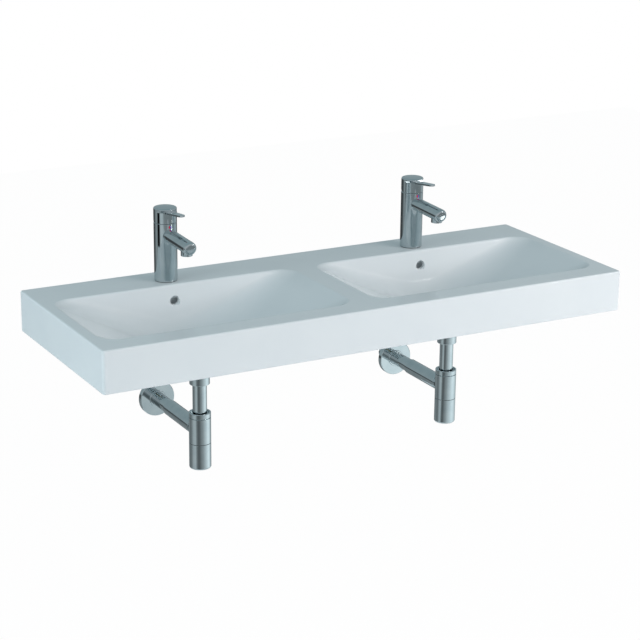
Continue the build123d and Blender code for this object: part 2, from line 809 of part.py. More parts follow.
    # Trap head with the outlet branch
    spigot_radius = trap_radius - trap_wall - loose_gap
    chamber_radius = spigot_radius - trap_spigot_wall
    spigot_bottom = trap_head_bottom - trap_spigot_length
    with BuildPart() as trap_head:
        turn(drain, [
            (trap_thread_radius + thread_gap, trap_nut_bottom - trap_groove),
            (trap_radius, trap_nut_bottom - trap_groove),
            (trap_radius, trap_head_bottom),
            (spigot_radius, trap_head_bottom),
            (spigot_radius, spigot_bottom),
            (chamber_radius, spigot_bottom),
            (chamber_radius, trap_seal_bottom - trap_ledge),
            (pipe_radius + loose_gap, trap_seal_bottom - trap_ledge),
            (pipe_radius + loose_gap, trap_seal_bottom),
            (trap_thread_radius + thread_gap, trap_seal_bottom),
        ])
        boss_end = -waste_setback + outlet_boss_reach
        branch_plane = Plane(
            origin=(x, boss_end, deck_z + outlet_height), x_dir=(1, 0, 0), z_dir=(0, 1, 0)
        )
        with BuildSketch(branch_plane) as branch:
            Circle(outlet_boss_radius)
        extrude(branch.sketch, until=Until.PREVIOUS)
        branch_start = -waste_setback + chamber_radius / 2
        rod(outlet, pipe_radius + seat_gap, branch_start, boss_end, Mode.SUBTRACT)
    keep(trap_head.part, f"trap_head_{side}")

    # Trap cup, which unscrews for cleaning
    cup_top = trap_head_bottom - cup_seal_height - seat_gap
    with BuildPart() as trap_cup:
        rod(drain, trap_radius, trap_cup_bottom, cup_top)
        fillet(trap_cup.faces().sort_by(Axis.Z)[0].edges(), trap_cup_edge)
        rod(drain, trap_radius - trap_wall, trap_cup_bottom + trap_wall, cup_top, Mode.SUBTRACT)
    keep(trap_cup.part, f"trap_cup_{side}")

    with BuildPart() as cup_seal:
        inner = spigot_radius + loose_gap
        outer = trap_radius - seat_gap
        tube(drain, inner, outer, trap_head_bottom - cup_seal_height, trap_head_bottom)
    keep(cup_seal.part, f"cup_seal_{side}")

    # Outlet arm in the sleeve of the trap, and the rosette that slides on it
    collar_near = -waste_setback + collar_start
    with BuildPart() as outlet_collar:
        turn(outlet, [
            (outlet_boss_radius + thread_gap, collar_near),
            (collar_radius, collar_near),
            (collar_radius, collar_near + collar_length),
            (pipe_radius + seat_gap, collar_near + collar_length),
            (pipe_radius + seat_gap, boss_end + seat_gap),
            (outlet_boss_radius + thread_gap, boss_end + seat_gap),
        ])
    keep(outlet_collar.part, f"outlet_collar_{side}")

    with BuildPart() as outlet_arm:
        turn(outlet, [
            (pipe_radius - tube_wall, -waste_setback + arm_start),
            (pipe_radius, -waste_setback + arm_start),
            (pipe_radius, 0),
            (tube_radius, 0),
            (tube_radius, tail_length),
            (pipe_radius - tube_wall, tail_length),
        ])
    keep(outlet_arm.part, f"outlet_arm_{side}")

    ring_middle = -rosette_thickness / 2
    ring_back = ring_middle + rosette_ring_height / 2
    ring_front = ring_middle - rosette_ring_height / 2
    rosette_bore = pipe_radius + slide_gap
    with BuildPart() as wall_rosette:
        turn(outlet, [
            (rosette_bore, -rosette_thickness - rosette_lip),
            (rosette_hub_radius, -rosette_thickness - rosette_lip),
            (rosette_hub_radius, -rosette_thickness),
            (rosette_radius, -rosette_thickness),
            (rosette_radius, 0),
            (rosette_radius - rosette_wall, 0),
            (rosette_radius - rosette_wall, -rosette_thickness + rosette_wall),
            (rosette_hub_radius, -rosette_thickness + rosette_wall),
            (rosette_hub_radius, -rosette_hub_setback),
            (rosette_bore, -rosette_hub_setback),
        ])
        groove_radius = rosette_bore + rosette_ring_width + slide_gap
        tube(outlet, rosette_bore, groove_radius, ring_front, ring_back, Mode.SUBTRACT)
    keep(wall_rosette.part, f"wall_rosette_{side}")

    with BuildPart() as rosette_ring:
        tube(outlet, rosette_bore, rosette_bore + rosette_ring_width, ring_front, ring_back)
    keep(rosette_ring.part, f"rosette_ring_{side}")
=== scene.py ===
import json
import math
import bmesh
import bpy
from mathutils import Matrix, Vector


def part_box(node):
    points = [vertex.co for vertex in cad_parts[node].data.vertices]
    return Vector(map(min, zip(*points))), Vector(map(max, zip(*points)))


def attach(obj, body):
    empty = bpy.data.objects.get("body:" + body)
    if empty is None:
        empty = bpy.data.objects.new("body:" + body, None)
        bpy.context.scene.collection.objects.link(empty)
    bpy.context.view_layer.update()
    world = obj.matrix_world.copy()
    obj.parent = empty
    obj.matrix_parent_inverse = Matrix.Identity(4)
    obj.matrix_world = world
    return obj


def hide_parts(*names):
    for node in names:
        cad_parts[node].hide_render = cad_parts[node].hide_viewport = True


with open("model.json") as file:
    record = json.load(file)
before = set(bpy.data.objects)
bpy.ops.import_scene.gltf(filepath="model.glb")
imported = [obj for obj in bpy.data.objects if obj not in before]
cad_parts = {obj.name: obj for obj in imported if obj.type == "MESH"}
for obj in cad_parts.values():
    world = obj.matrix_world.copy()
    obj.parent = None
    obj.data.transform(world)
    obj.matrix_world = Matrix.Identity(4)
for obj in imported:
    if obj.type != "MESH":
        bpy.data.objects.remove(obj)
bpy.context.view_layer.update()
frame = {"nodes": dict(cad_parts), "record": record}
print("frame loaded:", len(frame["nodes"]), "CAD nodes")

mm = 0.001
sides = {"left": -0.325, "right": 0.325}
basinLow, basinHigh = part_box("basin")
deckZ = basinHigh.z
tapY = -0.070
wasteY = -0.245


# Mesh helpers: every piece keeps its object at the origin, with its place in its mesh

def addPiece(name, verts, faces):
    mesh = bpy.data.meshes.new(name)
    mesh.from_pydata([tuple(v) for v in verts], [], faces)
    mesh.validate()
    piece = bpy.data.objects.new(name, mesh)
    bpy.context.scene.collection.objects.link(piece)
    faceOutwards(piece)
    return piece


def faceOutwards(piece, mergeGap=1e-6):
    work = bmesh.new()
    work.from_mesh(piece.data)
    bmesh.ops.remove_doubles(work, verts=work.verts, dist=mergeGap)
    bmesh.ops.recalc_face_normals(work, faces=work.faces)
    work.to_mesh(piece.data)
    work.free()


def bakeModifiers(piece):
    graph = bpy.context.evaluated_depsgraph_get()
    made = bpy.data.meshes.new_from_object(piece.evaluated_get(graph))
    old = piece.data
    piece.modifiers.clear()
    piece.data = made
    bpy.data.meshes.remove(old)
    made.name = piece.name
    return piece


def combine(piece, tool, operation):
    shape = piece.modifiers.new("shape", "BOOLEAN")
    shape.operation = operation
    shape.solver = "EXACT"
    shape.object = tool
    bakeModifiers(piece)
    bpy.data.objects.remove(tool)
    return piece


def cut(piece, tool):
    return combine(piece, tool, "DIFFERENCE")


def weld(piece, tool):
    return combine(piece, tool, "UNION")


def polish(piece, sharpAngle=32, mergeGap=1e-6):
    # smooth faces, sharp edges where the shape turns, and normals that follow the large faces
    faceOutwards(piece, mergeGap)
    piece.data.polygons.foreach_set("use_smooth", [True] * len(piece.data.polygons))
    piece.data.set_sharp_from_angle(angle=math.radians(sharpAngle))
    weighted = piece.modifiers.new("normals", "WEIGHTED_NORMAL")
    weighted.keep_sharp = True
    return bakeModifiers(piece)


def uprightPlace(x, y, z=0.0):
    return Matrix.Translation((x, y, z))


def outwardPlace(x, z, y=0.0):
    # local Z runs along +Y, towards the wall
    turn = Matrix(((1, 0, 0, 0), (0, 0, 1, 0), (0, -1, 0, 0), (0, 0, 0, 1)))
    return Matrix.Translation((x, y, z)) @ turn


def roundOutline(corners, arcSteps=6):
    # corners are (radius, height, rounding) in a closed loop, and each rounding becomes an arc
    points = []
    for i, (x, y, rounding) in enumerate(corners):
        here = Vector((x, y))
        if rounding == 0:
            points.append(here)
            continue
        before = (Vector(corners[i - 1][:2]) - here).normalized()
        after = (Vector(corners[(i + 1) % len(corners)][:2]) - here).normalized()
        half = before.angle(after) / 2
        centre = here + (before + after).normalized() * (rounding / math.sin(half))
        start = here + before * (rounding / math.tan(half)) - centre
        sweep = math.pi - 2 * half
        if before.x * after.y - before.y * after.x > 0:
            sweep = -sweep
        for step in range(arcSteps + 1):
            turn = sweep * step / arcSteps
            points.append(centre + Vector((
                start.x * math.cos(turn) - start.y * math.sin(turn),
                start.x * math.sin(turn) + start.y * math.cos(turn),
            )))
    return points


def turned(name, place, corners, segments=128, arcSteps=6):
    # a lathe: the closed outline of corners turns about the local Z axis of place
    outline = roundOutline(corners, arcSteps)
    verts = []
    rows = []
    for point in outline:
        if point.x < 1e-7:
            rows.append([len(verts)] * segments)
            verts.append(place @ Vector((0, 0, point.y)))
            continue
        rows.append(list(range(len(verts), len(verts) + segments)))
        for s in range(segments):
            angle = 2 * math.pi * s / segments
            verts.append(place @ Vector((
                point.x * math.cos(angle), point.x * math.sin(angle), point.y,
            )))
    faces = []
    for i, row in enumerate(rows):
        following = rows[(i + 1) % len(rows)]
        for s in range(segments):
            t = (s + 1) % segments
            corner = [row[s], row[t], following[t], following[s]]
            face = [v for k, v in enumerate(corner) if v not in corner[:k]]
            if len(face) > 2:
                faces.append(face)
    return addPiece(name, verts, faces)


def rodTool(place, radius, low, high, segments=96):
    return turned("tool", place, [(0, low, 0), (radius, low, 0), (radius, high, 0), (0, high, 0)], segments)


def stackRings(name, rings):
    # rings of equal length, closed with a cap at each end
    size = len(rings[0])
    verts = [point for ring in rings for point in ring]
    faces = []
    for i in range(len(rings) - 1):
        for k in range(size):
            n = (k + 1) % size
            faces.append([i * size + k, i * size + n, (i + 1) * size + n, (i + 1) * size + k])
    faces.append(list(range(size)))
    faces.append([(len(rings) - 1) * size + k for k in range(size)])
    return addPiece(name, verts, faces)


def blockTool(low, high):
    corners = [(x, y) for x, y in ((low[0], low[1]), (high[0], low[1]), (high[0], high[1]), (low[0], high[1]))]
    return stackRings("tool", [[Vector((x, y, z)) for x, y in corners] for z in (low[2], high[2])])


def prismTool(outline, place, low, high):
    # a flat outline pushed along the local Z axis of place
    rings = [[place @ Vector((x, y, z)) for x, y in outline] for z in (low, high)]
    return stackRings("tool", rings)


def roundedSquare(halfX, halfY, radius, steps=8):
    points = []
    for quarter in range(4):
        signX, signY = ((1, 1), (-1, 1), (-1, -1), (1, -1))[quarter]
        for s in range(steps + 1):
            angle = math.radians(90 * (quarter + s / steps))
            points.append((
                signX * (halfX - radius) + radius * math.cos(angle),
                signY * (halfY - radius) + radius * math.sin(angle),
            ))
    return points


# Materials: all procedural, on Object coordinates, with constants on the shader's own sockets

def startMaterial(name):
    material = bpy.data.materials.new(name)
    material.use_nodes = True
    tree = material.node_tree
    shader = tree.nodes["Principled BSDF"]
    where = tree.nodes.new("ShaderNodeTexCoord")
    return material, tree, shader, where.outputs["Object"]


def addNoise(tree, vector, scale, detail=3.0, rough=0.5, stretch=None):
    if stretch:
        mapping = tree.nodes.new("ShaderNodeMapping")
        mapping.inputs["Scale"].default_value = stretch
        tree.links.new(vector, mapping.inputs["Vector"])
        vector = mapping.outputs["Vector"]
    noise = tree.nodes.new("ShaderNodeTexNoise")
    noise.inputs["Scale"].default_value = scale
    noise.inputs["Detail"].default_value = detail
    noise.inputs["Roughness"].default_value = rough
    tree.links.new(vector, noise.inputs["Vector"])
    return noise.outputs["Fac"]


def spread(tree, value, low, high, fromLow=0.3, fromHigh=0.7):
    span = tree.nodes.new("ShaderNodeMapRange")
    span.inputs["From Min"].default_value = fromLow
    span.inputs["From Max"].default_value = fromHigh
    span.inputs["To Min"].default_value = low
    span.inputs["To Max"].default_value = high
    tree.links.new(value, span.inputs["Value"])
    return span.outputs["Result"]


def blendColours(tree, value, first, second):
    mix = tree.nodes.new("ShaderNodeMix")
    mix.data_type = "RGBA"
    mix.inputs[6].default_value = (*first, 1)
    mix.inputs[7].default_value = (*second, 1)
    tree.links.new(value, mix.inputs[0])
    return mix.outputs[2]


def addBump(tree, shader, height, distance, strength=1.0):
    bump = tree.nodes.new("ShaderNodeBump")
    bump.inputs["Distance"].default_value = distance
    bump.inputs["Strength"].default_value = strength
    tree.links.new(height, bump.inputs["Height"])
    tree.links.new(bump.outputs["Normal"], shader.inputs["Normal"])
    return bump


def glazedCeramic():
    look = {
        "light": (0.792, 0.815, 0.825), "shade": (0.768, 0.795, 0.810),
        "roughLow": 0.07, "roughHigh": 0.13, "ripple": 0.00012,
    }
    material, tree, shader, where = startMaterial("glazedCeramic")
    pool = addNoise(tree, where, 9.0, 4.0)
    glaze = blendColours(tree, spread(tree, pool, 0.0, 1.0), look["light"], look["shade"])
    grain = addNoise(tree, where, 900.0, 2.0)
    shader.inputs["IOR"].default_value = 1.52
    tree.links.new(glaze, shader.inputs["Base Color"])
    tree.links.new(spread(tree, grain, look["roughLow"], look["roughHigh"]), shader.inputs["Roughness"])
    wave = addNoise(tree, where, 14.0, 2.0)
    addBump(tree, shader, wave, look["ripple"], 0.35)
    return material


def polishedChrome():
    look = {"light": (0.62, 0.67, 0.68), "shade": (0.54, 0.60, 0.62), "roughLow": 0.035, "roughHigh": 0.09}
    material, tree, shader, where = startMaterial("polishedChrome")
    haze = addNoise(tree, where, 45.0, 5.0)
    shader.inputs["Metallic"].default_value = 1.0
    tree.links.new(blendColours(tree, spread(tree, haze, 0, 1), look["light"], look["shade"]), shader.inputs["Base Color"])
    tree.links.new(spread(tree, haze, look["roughLow"], look["roughHigh"]), shader.inputs["Roughness"])
    fine = addNoise(tree, where, 320.0, 2.0)
    addBump(tree, shader, fine, 0.000004, 0.4)
    return material


def turnedMetal(name, light, shade, roughLow, roughHigh, stretch):
    material, tree, shader, where = startMaterial(name)
    lines = addNoise(tree, where, 500.0, 2.0, 0.5, stretch)
    shader.inputs["Metallic"].default_value = 1.0
    tree.links.new(blendColours(tree, spread(tree, lines, 0, 1), light, shade), shader.inputs["Base Color"])
    tree.links.new(spread(tree, lines, roughLow, roughHigh), shader.inputs["Roughness"])
    addBump(tree, shader, lines, 0.00002, 0.5)
    return material


def mouldedMaterial(name, light, shade, roughLow, roughHigh, grainScale, grainDepth):
    material, tree, shader, where = startMaterial(name)
    cloud = addNoise(tree, where, 60.0, 3.0)
    grain = addNoise(tree, where, grainScale, 3.0)
    tree.links.new(blendColours(tree, spread(tree, cloud, 0, 1), light, shade), shader.inputs["Base Color"])
    tree.links.new(spread(tree, grain, roughLow, roughHigh), shader.inputs["Roughness"])
    addBump(tree, shader, grain, grainDepth, 0.6)
    return material


def indicatorPlastic():
    look = {"hot": (0.60, 0.03, 0.06), "cold": (0.04, 0.10, 0.45)}
    material, tree, shader, where = startMaterial("indicatorPlastic")
    split = tree.nodes.new("ShaderNodeSeparateXYZ")
    tree.links.new(where, split.inputs["Vector"])
    # one pattern serves both taps, which stand 0.65 m apart
    shift = tree.nodes.new("ShaderNodeMath")
    shift.operation = "ADD"
    shift.inputs[1].default_value = 0.325
    tree.links.new(split.outputs["X"], shift.inputs[0])
    wrap = tree.nodes.new("ShaderNodeMath")
    wrap.operation = "WRAP"
    wrap.inputs[1].default_value = 0.325
    wrap.inputs[2].default_value = -0.325
    tree.links.new(shift.outputs[0], wrap.inputs[0])
    half = spread(tree, wrap.outputs[0], 0.0, 1.0, -0.0002, 0.0002)
    tree.links.new(blendColours(tree, half, look["hot"], look["cold"]), shader.inputs["Base Color"])
    grain = addNoise(tree, where, 700.0, 2.0)
    tree.links.new(spread(tree, grain, 0.12, 0.22), shader.inputs["Roughness"])
    return material


ceramic = glazedCeramic()
chrome = polishedChrome()
brass = turnedMetal("turnedBrass", (0.72, 0.54, 0.24), (0.62, 0.45, 0.19), 0.22, 0.40, (1, 1, 6))
zinc = turnedMetal("zincPlate", (0.62, 0.63, 0.64), (0.48, 0.49, 0.51), 0.28, 0.45, (1, 1, 3))
rubber = mouldedMaterial("blackRubber", (0.022, 0.022, 0.023), (0.035, 0.035, 0.036), 0.55, 0.75, 900.0, 0.00002)
whitePlastic = mouldedMaterial("whitePlastic", (0.78, 0.78, 0.76), (0.72, 0.72, 0.70), 0.35, 0.50, 700.0, 0.00001)
indicator = indicatorPlastic()
slotMaterials = {
    "glazed_ceramic": ceramic, "chrome": chrome, "brass": brass, "steel": zinc, "rubber": rubber,
    "white_plastic": whitePlastic, "indicator_plastic": indicator,
}
print("materials made:", len(slotMaterials))


def setMaterial(piece, material):
    piece.data.materials.clear()
    piece.data.materials.append(material)


def dress(piece, material, body, slotName, *nodes):
    setMaterial(piece, material)
    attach(piece, body)
    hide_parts(*nodes)
    return piece


# CAD nodes that stay get the finish of their slot
for part in frame["record"]["subparts"]:
    setMaterial(frame["nodes"][part["node"]], slotMaterials[part["material_slot"]])


# Basin

basinSizes = {
    "deckThick": 14 * mm, "apronThick": 14 * mm, "backThick": 16 * mm, "corner": 7 * mm, "edge": 4 * mm,
    "foot": 2.5 * mm, "rib": 12 * mm, "footRise": 2.5 * mm,
    "bowlLength": 597 * mm, "bowlDepth": 115 * mm, "backDeck": 113 * mm, "frontBand": 62 * mm,
    "bowlCorner": 45 * mm, "cornerGrowth": 0.8, "cornerEasing": 40 * mm, "largestCorner": 0.96, "rimWall": 6 * mm, "rimEnd": 16 * mm, "shell": 11 * mm, "draft": 0.12,
    "floorBlend": 50 * mm, "rampBlend": 14 * mm, "rampRun": 4 * mm, "floorHalfLength": 42 * mm,
    "floorHalfWidth": 46 * mm, "recessRadius": 33 * mm, "recessDepth": 3 * mm, "recessEdge": 1.2 * mm,
    "holeRadius": 23 * mm, "bossRadius": 40 * mm, "bossDepth": 145.5 * mm, "tapHole": 17.5 * mm,
    "fixingSpacing": 280 * mm, "fixingHole": 7 * mm, "pad": 56 * mm, "padThick": 8 * mm,
    "overflowDepth": 37 * mm, "overflowRadius": 11 * mm, "overflowEdge": 2.5 * mm,
    "channelHeight": 12 * mm, "channelWidth": 44 * mm, "channelSkin": 9 * mm, "ductWall": 6.5 * mm,
    "ductTurn": 0.84, "ductLanding": 18 * mm,
    "cornerSteps": 12, "longSteps": 24, "shortSteps": 10, "rimRings": 8, "wallRings": 14, "bendRings": 18,
}
basinDepth = basinHigh.y - basinLow.y


def easeRound(depth, start):
    b = basinSizes
    share = min(max((depth - start) / (b["bowlDepth"] - start), 0.0), 1.0)
    return 1 - math.sqrt(1 - share * share)


def bowlSides(depth):
    b = basinSizes
    rampRun = b["bowlLength"] / 2 - b["floorHalfLength"] - b["rampRun"]
    half = b["bowlLength"] / 2 - rampRun * depth / b["bowlDepth"]
    half -= b["rampRun"] * easeRound(depth, b["bowlDepth"] - b["rampBlend"])
    blend = easeRound(depth, b["bowlDepth"] - b["floorBlend"])
    wallRun = b["draft"] * b["bowlDepth"]
    backRun = -wasteY - b["floorHalfWidth"] - b["backDeck"] - wallRun
    frontEdge = basinDepth - b["frontBand"]
    frontRun = frontEdge + wasteY - b["floorHalfWidth"] - wallRun
    back = -b["backDeck"] - b["draft"] * depth - backRun * blend
    front = -frontEdge + b["draft"] * depth + frontRun * blend
    return half, back, front


def cornerSize(depth, half, width):
    # the corners grow softer with depth, and ease into the largest that fits
    b = basinSizes
    wanted = b["bowlCorner"] + b["cornerGrowth"] * depth
    largest = b["largestCorner"] * min(half, width / 2)
    nearness = max(1 - abs(wanted - largest) / b["cornerEasing"], 0)
    return min(wanted, largest) - b["cornerEasing"] * nearness ** 2 / 4


def ringDirections():
    # one entry for each point of a ring: the side's normal angle, its corner and its share of a straight side
    b = basinSizes
    entries = []
    for quarter in range(4):
        for s in range(b["cornerSteps"] + 1):
            entries.append((90 * (quarter + s / b["cornerSteps"]), quarter, 0.0))
        straight = b["longSteps"] if quarter % 2 == 0 else b["shortSteps"]
        for s in range(1, straight):
            entries.append((90 * (quarter + 1), quarter, s / straight))
    return entries


directions = ringDirections()


def sectionPoint(x, direction, depth, outward, drop):
    # a point on the bowl's rounded rectangle at a depth, pushed outwards by a distance
    angle, quarter, along = direction
    half, back, front = bowlSides(depth)
    radius = cornerSize(depth, half, back - front)
    signs = ((1, 1), (-1, 1), (-1, -1), (1, -1))

    def centre(q):
        signX, signY = signs[q % 4]
        return Vector((signX * (half - radius), (back if signY > 0 else front) - signY * radius))

    middle = centre(quarter).lerp(centre(quarter + 1), along)
    turn = math.radians(angle)
    reach = radius + outward
    return Vector((
        x + middle.x + reach * math.cos(turn), middle.y + reach * math.sin(turn), deckZ - depth - drop,
    ))


def wallDepths():
    b = basinSizes
    bend = b["bowlDepth"] - b["floorBlend"]
    straight = [bend * k / b["wallRings"] for k in range(1, b["wallRings"] + 1)]
    curved = [bend + b["floorBlend"] * math.sin(math.pi / 2 * k / b["bendRings"]) for k in range(1, b["bendRings"] + 1)]
    return straight + curved


def bowlCutter(x):
    b = basinSizes
    rampSlope = (b["bowlLength"] / 2 - b["floorHalfLength"] - b["rampRun"]) / b["bowlDepth"]
    turnWall = math.pi / 2 - math.atan(b["draft"])
    turnEnd = math.pi / 2 - math.atan(rampSlope)
    rings = []

    def addRing(depthEnd, depthWall, outEnd, outWall, lift=0.0):
        ring = []
        for direction in directions:
            endShare = math.cos(math.radians(direction[0])) ** 2
            depth = depthEnd * endShare + depthWall * (1 - endShare)
            outward = outEnd * endShare + outWall * (1 - endShare)
            point = sectionPoint(x, direction, depth, outward, 0.0)
            point.z += lift
            ring.append(point)
        rings.append(ring)

    startEnd = b["rimEnd"] * math.tan(turnEnd / 2)
    startWall = b["rimWall"] * math.tan(turnWall / 2)
    addRing(0, 0, startEnd, startWall, 10 * mm)
    addRing(0, 0, startEnd, startWall, -0.02 * mm)
    for k in range(1, b["rimRings"] + 1):
        angleEnd = turnEnd * k / b["rimRings"]
        angleWall = turnWall * k / b["rimRings"]
        depthEnd = b["rimEnd"] * (1 - math.cos(angleEnd))
        depthWall = b["rimWall"] * (1 - math.cos(angleWall))
        # the section itself has already moved in by its slope at this depth
        outEnd = startEnd - b["rimEnd"] * math.sin(angleEnd) + rampSlope * depthEnd
        outWall = startWall - b["rimWall"] * math.sin(angleWall) + b["draft"] * depthWall
        addRing(depthEnd, depthWall, outEnd, outWall)
    lastEnd = b["rimEnd"] * (1 - math.cos(turnEnd))
    lastWall = b["rimWall"] * (1 - math.cos(turnWall))
    for depth in wallDepths():
        share = depth / b["bowlDepth"]
        addRing(lastEnd + (b["bowlDepth"] - lastEnd) * share, lastWall + (b["bowlDepth"] - lastWall) * share, 0, 0)
    # floor: the last section eases into the round seat of the waste
    centre = Vector((x, wasteY, 0))
    edge = rings[-1]

    def addCircle(radius, depth, share=1.0):
        ring = []
        for point in edge:
            flat = Vector((point.x, point.y, 0))
            around = centre + (flat - centre).normalized() * radius
            ring.append(flat.lerp(around, share) + Vector((0, 0, deckZ - depth)))
        rings.append(ring)

    for k in range(1, 5):
        addCircle(b["recessRadius"] + b["recessEdge"], b["bowlDepth"], k / 4)
    for k in range(1, 6):
        angle = math.pi / 2 * k / 5
        addCircle(b["recessRadius"] + b["recessEdge"] * (1 - math.sin(angle)),
                  b["bowlDepth"] + b["recessEdge"] * (1 - math.cos(angle)))
    seat = b["bowlDepth"] + b["recessDepth"]
    addCircle(b["recessRadius"], seat)
    addCircle(b["holeRadius"], seat)
    addCircle(b["holeRadius"], b["bossDepth"] + 5 * mm)
    return stackRings("tool", rings)


def bowlShell(x):
    b = basinSizes
    depths = [0.0] + wallDepths()
    rings = [[sectionPoint(x, d, depth, b["shell"], b["shell"]) for d in directions] for depth in depths]
    return stackRings("tool", rings)


def pathOutline(points, halfWidth):
    # the outline of a bent strip, mitred at its corners
    left, right = [], []
    for i, point in enumerate(points):
        here = Vector(point)
        before = (here - Vector(points[i - 1])).normalized() if i else None
        after = (Vector(points[i + 1]) - here).normalized() if i < len(points) - 1 else None
        along = ((before or after) + (after or before)).normalized()
        normal = Vector((-along.y, along.x))
        across = (after or before)
        reach = halfWidth / abs(normal.dot(Vector((-across.y, across.x))))
        left.append(here + normal * reach)
        right.append(here - normal * reach)
    return [tuple(p) for p in left + right[::-1]]


def ductTool(x, wall):
    b = basinSizes
    channelDepth = b["bowlDepth"] + b["recessDepth"] + b["channelSkin"] + b["channelHeight"] / 2
    ductY = bowlSides(b["overflowDepth"])[1] + b["channelSkin"] + b["channelHeight"] / 2
    line = [
        (ductY, deckZ - b["overflowDepth"]),
        (ductY, deckZ - b["ductTurn"] * b["bowlDepth"]),
        (bowlSides(b["bowlDepth"])[1] + b["ductLanding"], deckZ - channelDepth),
        (wasteY + b["holeRadius"], deckZ - channelDepth),
    ]
    place = Matrix(((0, 0, 1, x), (1, 0, 0, 0), (0, 1, 0, 0), (0, 0, 0, 1)))
    halfWidth = b["channelWidth"] / 2 + wall
    return prismTool(pathOutline(line, b["channelHeight"] / 2 + wall), place, -halfWidth, halfWidth)


def overflowTool(x):
    # a bore square to the bowl's back wall, with a rounded mouth
    b = basinSizes
    wallY = bowlSides(b["overflowDepth"])[1]
    lean = math.atan(b["draft"])
    place = outwardPlace(x, deckZ - b["overflowDepth"], wallY) @ Matrix.Rotation(lean, 4, "X")
    r, e = b["overflowRadius"], b["overflowEdge"]
    corners = [(0, -e, 0), (r + 2 * e, -e, 0), (r + 2 * e, 0.00002, 0)]
    arc = [(r + e - e * math.sin(a), e - e * math.cos(a), 0) for a in [math.pi / 2 * k / 8 for k in range(9)]]
    arc[0] = (r + e, 0.00002, 0)
    bore = [(r, b["channelSkin"] + 4 * mm, 0), (0, b["channelSkin"] + 4 * mm, 0)]
    return turned("tool", place, [corners[0], (r + e, -e, 0)] + arc + bore, 96)


def makeBasin():
    b = basinSizes
    halfX = (basinHigh.x - basinLow.x) / 2
    halfY = basinDepth / 2
    middle = (basinHigh.y + basinLow.y) / 2
    apronZ = deckZ - 95 * mm
    rings = []

    def addRing(inset, z):
        outline = roundedSquare(halfX - inset, halfY - inset, b["corner"] - inset)
        rings.append([Vector((x, middle + y, z)) for x, y in outline])

    for k in range(9):
        angle = math.pi / 2 * k / 8
        addRing(b["edge"] * (1 - math.sin(angle)), deckZ - b["edge"] * (1 - math.cos(angle)))
    for k in range(9):
        angle = math.pi / 2 * k / 8
        addRing(b["foot"] * (1 - math.cos(angle)), apronZ + b["foot"] * (1 - math.sin(angle)))
    basin = stackRings("basinCeramic", rings)
    cut(basin, blockTool(
        (-halfX + b["apronThick"], -basinDepth + b["apronThick"], apronZ - 10 * mm),
        (halfX - b["apronThick"], -b["backThick"], deckZ - b["deckThick"]),
    ))
    overlap = 3 * mm
    weld(basin, blockTool(
        (-b["rib"] / 2, -basinDepth + b["apronThick"] - overlap, apronZ + b["footRise"]),
        (b["rib"] / 2, -b["backThick"] + overlap, deckZ - b["deckThick"] + overlap),
    ))
    for x in sides.values():
        for way in (-1, 1):
            pad = roundedSquare(b["pad"] / 2, b["pad"] / 2, b["corner"])
            place = outwardPlace(x + way * b["fixingSpacing"] / 2, 0)
            reach = b["backThick"] + b["padThick"]
            weld(basin, prismTool(pad, place, -reach, -b["backThick"] + overlap))
        weld(basin, bowlShell(x))
        weld(basin, rodTool(uprightPlace(x, wasteY, deckZ), b["bossRadius"], -b["bossDepth"], -b["bowlDepth"] - 2 * mm))
        weld(basin, ductTool(x, b["ductWall"]))
    print("basin body and shells joined")
    for x in sides.values():
        cut(basin, bowlCutter(x))
        cut(basin, ductTool(x, 0))
        cut(basin, overflowTool(x))
        cut(basin, rodTool(uprightPlace(x, tapY, deckZ), b["tapHole"], -b["deckThick"] - 5 * mm, 5 * mm))
        for way in (-1, 1):
            place = outwardPlace(x + way * b["fixingSpacing"] / 2, 0)
            cut(basin, rodTool(place, b["fixingHole"], -60 * mm, 5 * mm, 48))
    polish(basin, 30, 0.04 * mm)
    print("basin:", len(basin.data.polygons), "faces")
    return dress(basin, ceramic, "root", "glazed_ceramic", "basin")


makeBasin()


# Mixers

mixerSizes = {
    "radius": 26.5 * mm, "base": 1.2 * mm, "top": 136 * mm, "topEdge": 0.7 * mm, "baseEdge": 0.5 * mm,
    "cavity": 21.5 * mm, "cavityTop": 78 * mm, "hoseBore": 4.6 * mm, "hoseSpread": 7.5 * mm,
    "hoseOffset": -5 * mm, "studBore": 4.1 * mm, "studOffset": 10 * mm, "studTop": 91 * mm, "seat": 94 * mm, "seatBore": 17.6 * mm,
    "nutBore": 19.9 * mm, "nutSeat": 124 * mm,
    "spoutRadius": 15.5 * mm, "spoutHeight": 110 * mm, "spoutReach": 137 * mm, "spoutFall": 2.0,
    "spoutEnd": 7 * mm, "spoutBore": 10.5 * mm, "boreStart": 14.5 * mm, "boreEnd": 120.6 * mm,
    "aeratorSetback": 114 * mm, "socket": 13.3 * mm, "aeratorBottom": 85.5 * mm, "aeratorTop": 98.5 * mm,
    "indicatorHeight": 129 * mm, "indicatorRadius": 3.5 * mm, "indicatorDepth": 1 * mm, "indicatorProud": 0.4 * mm,
}


def spoutPlace(x):
    m = mixerSizes
    fall = math.radians(m["spoutFall"])
    way = Vector((0, -math.cos(fall), -math.sin(fall)))
    turn = way.to_track_quat("Z", "X").to_matrix().to_4x4()
    return Matrix.Translation((x, tapY, deckZ + m["spoutHeight"])) @ turn


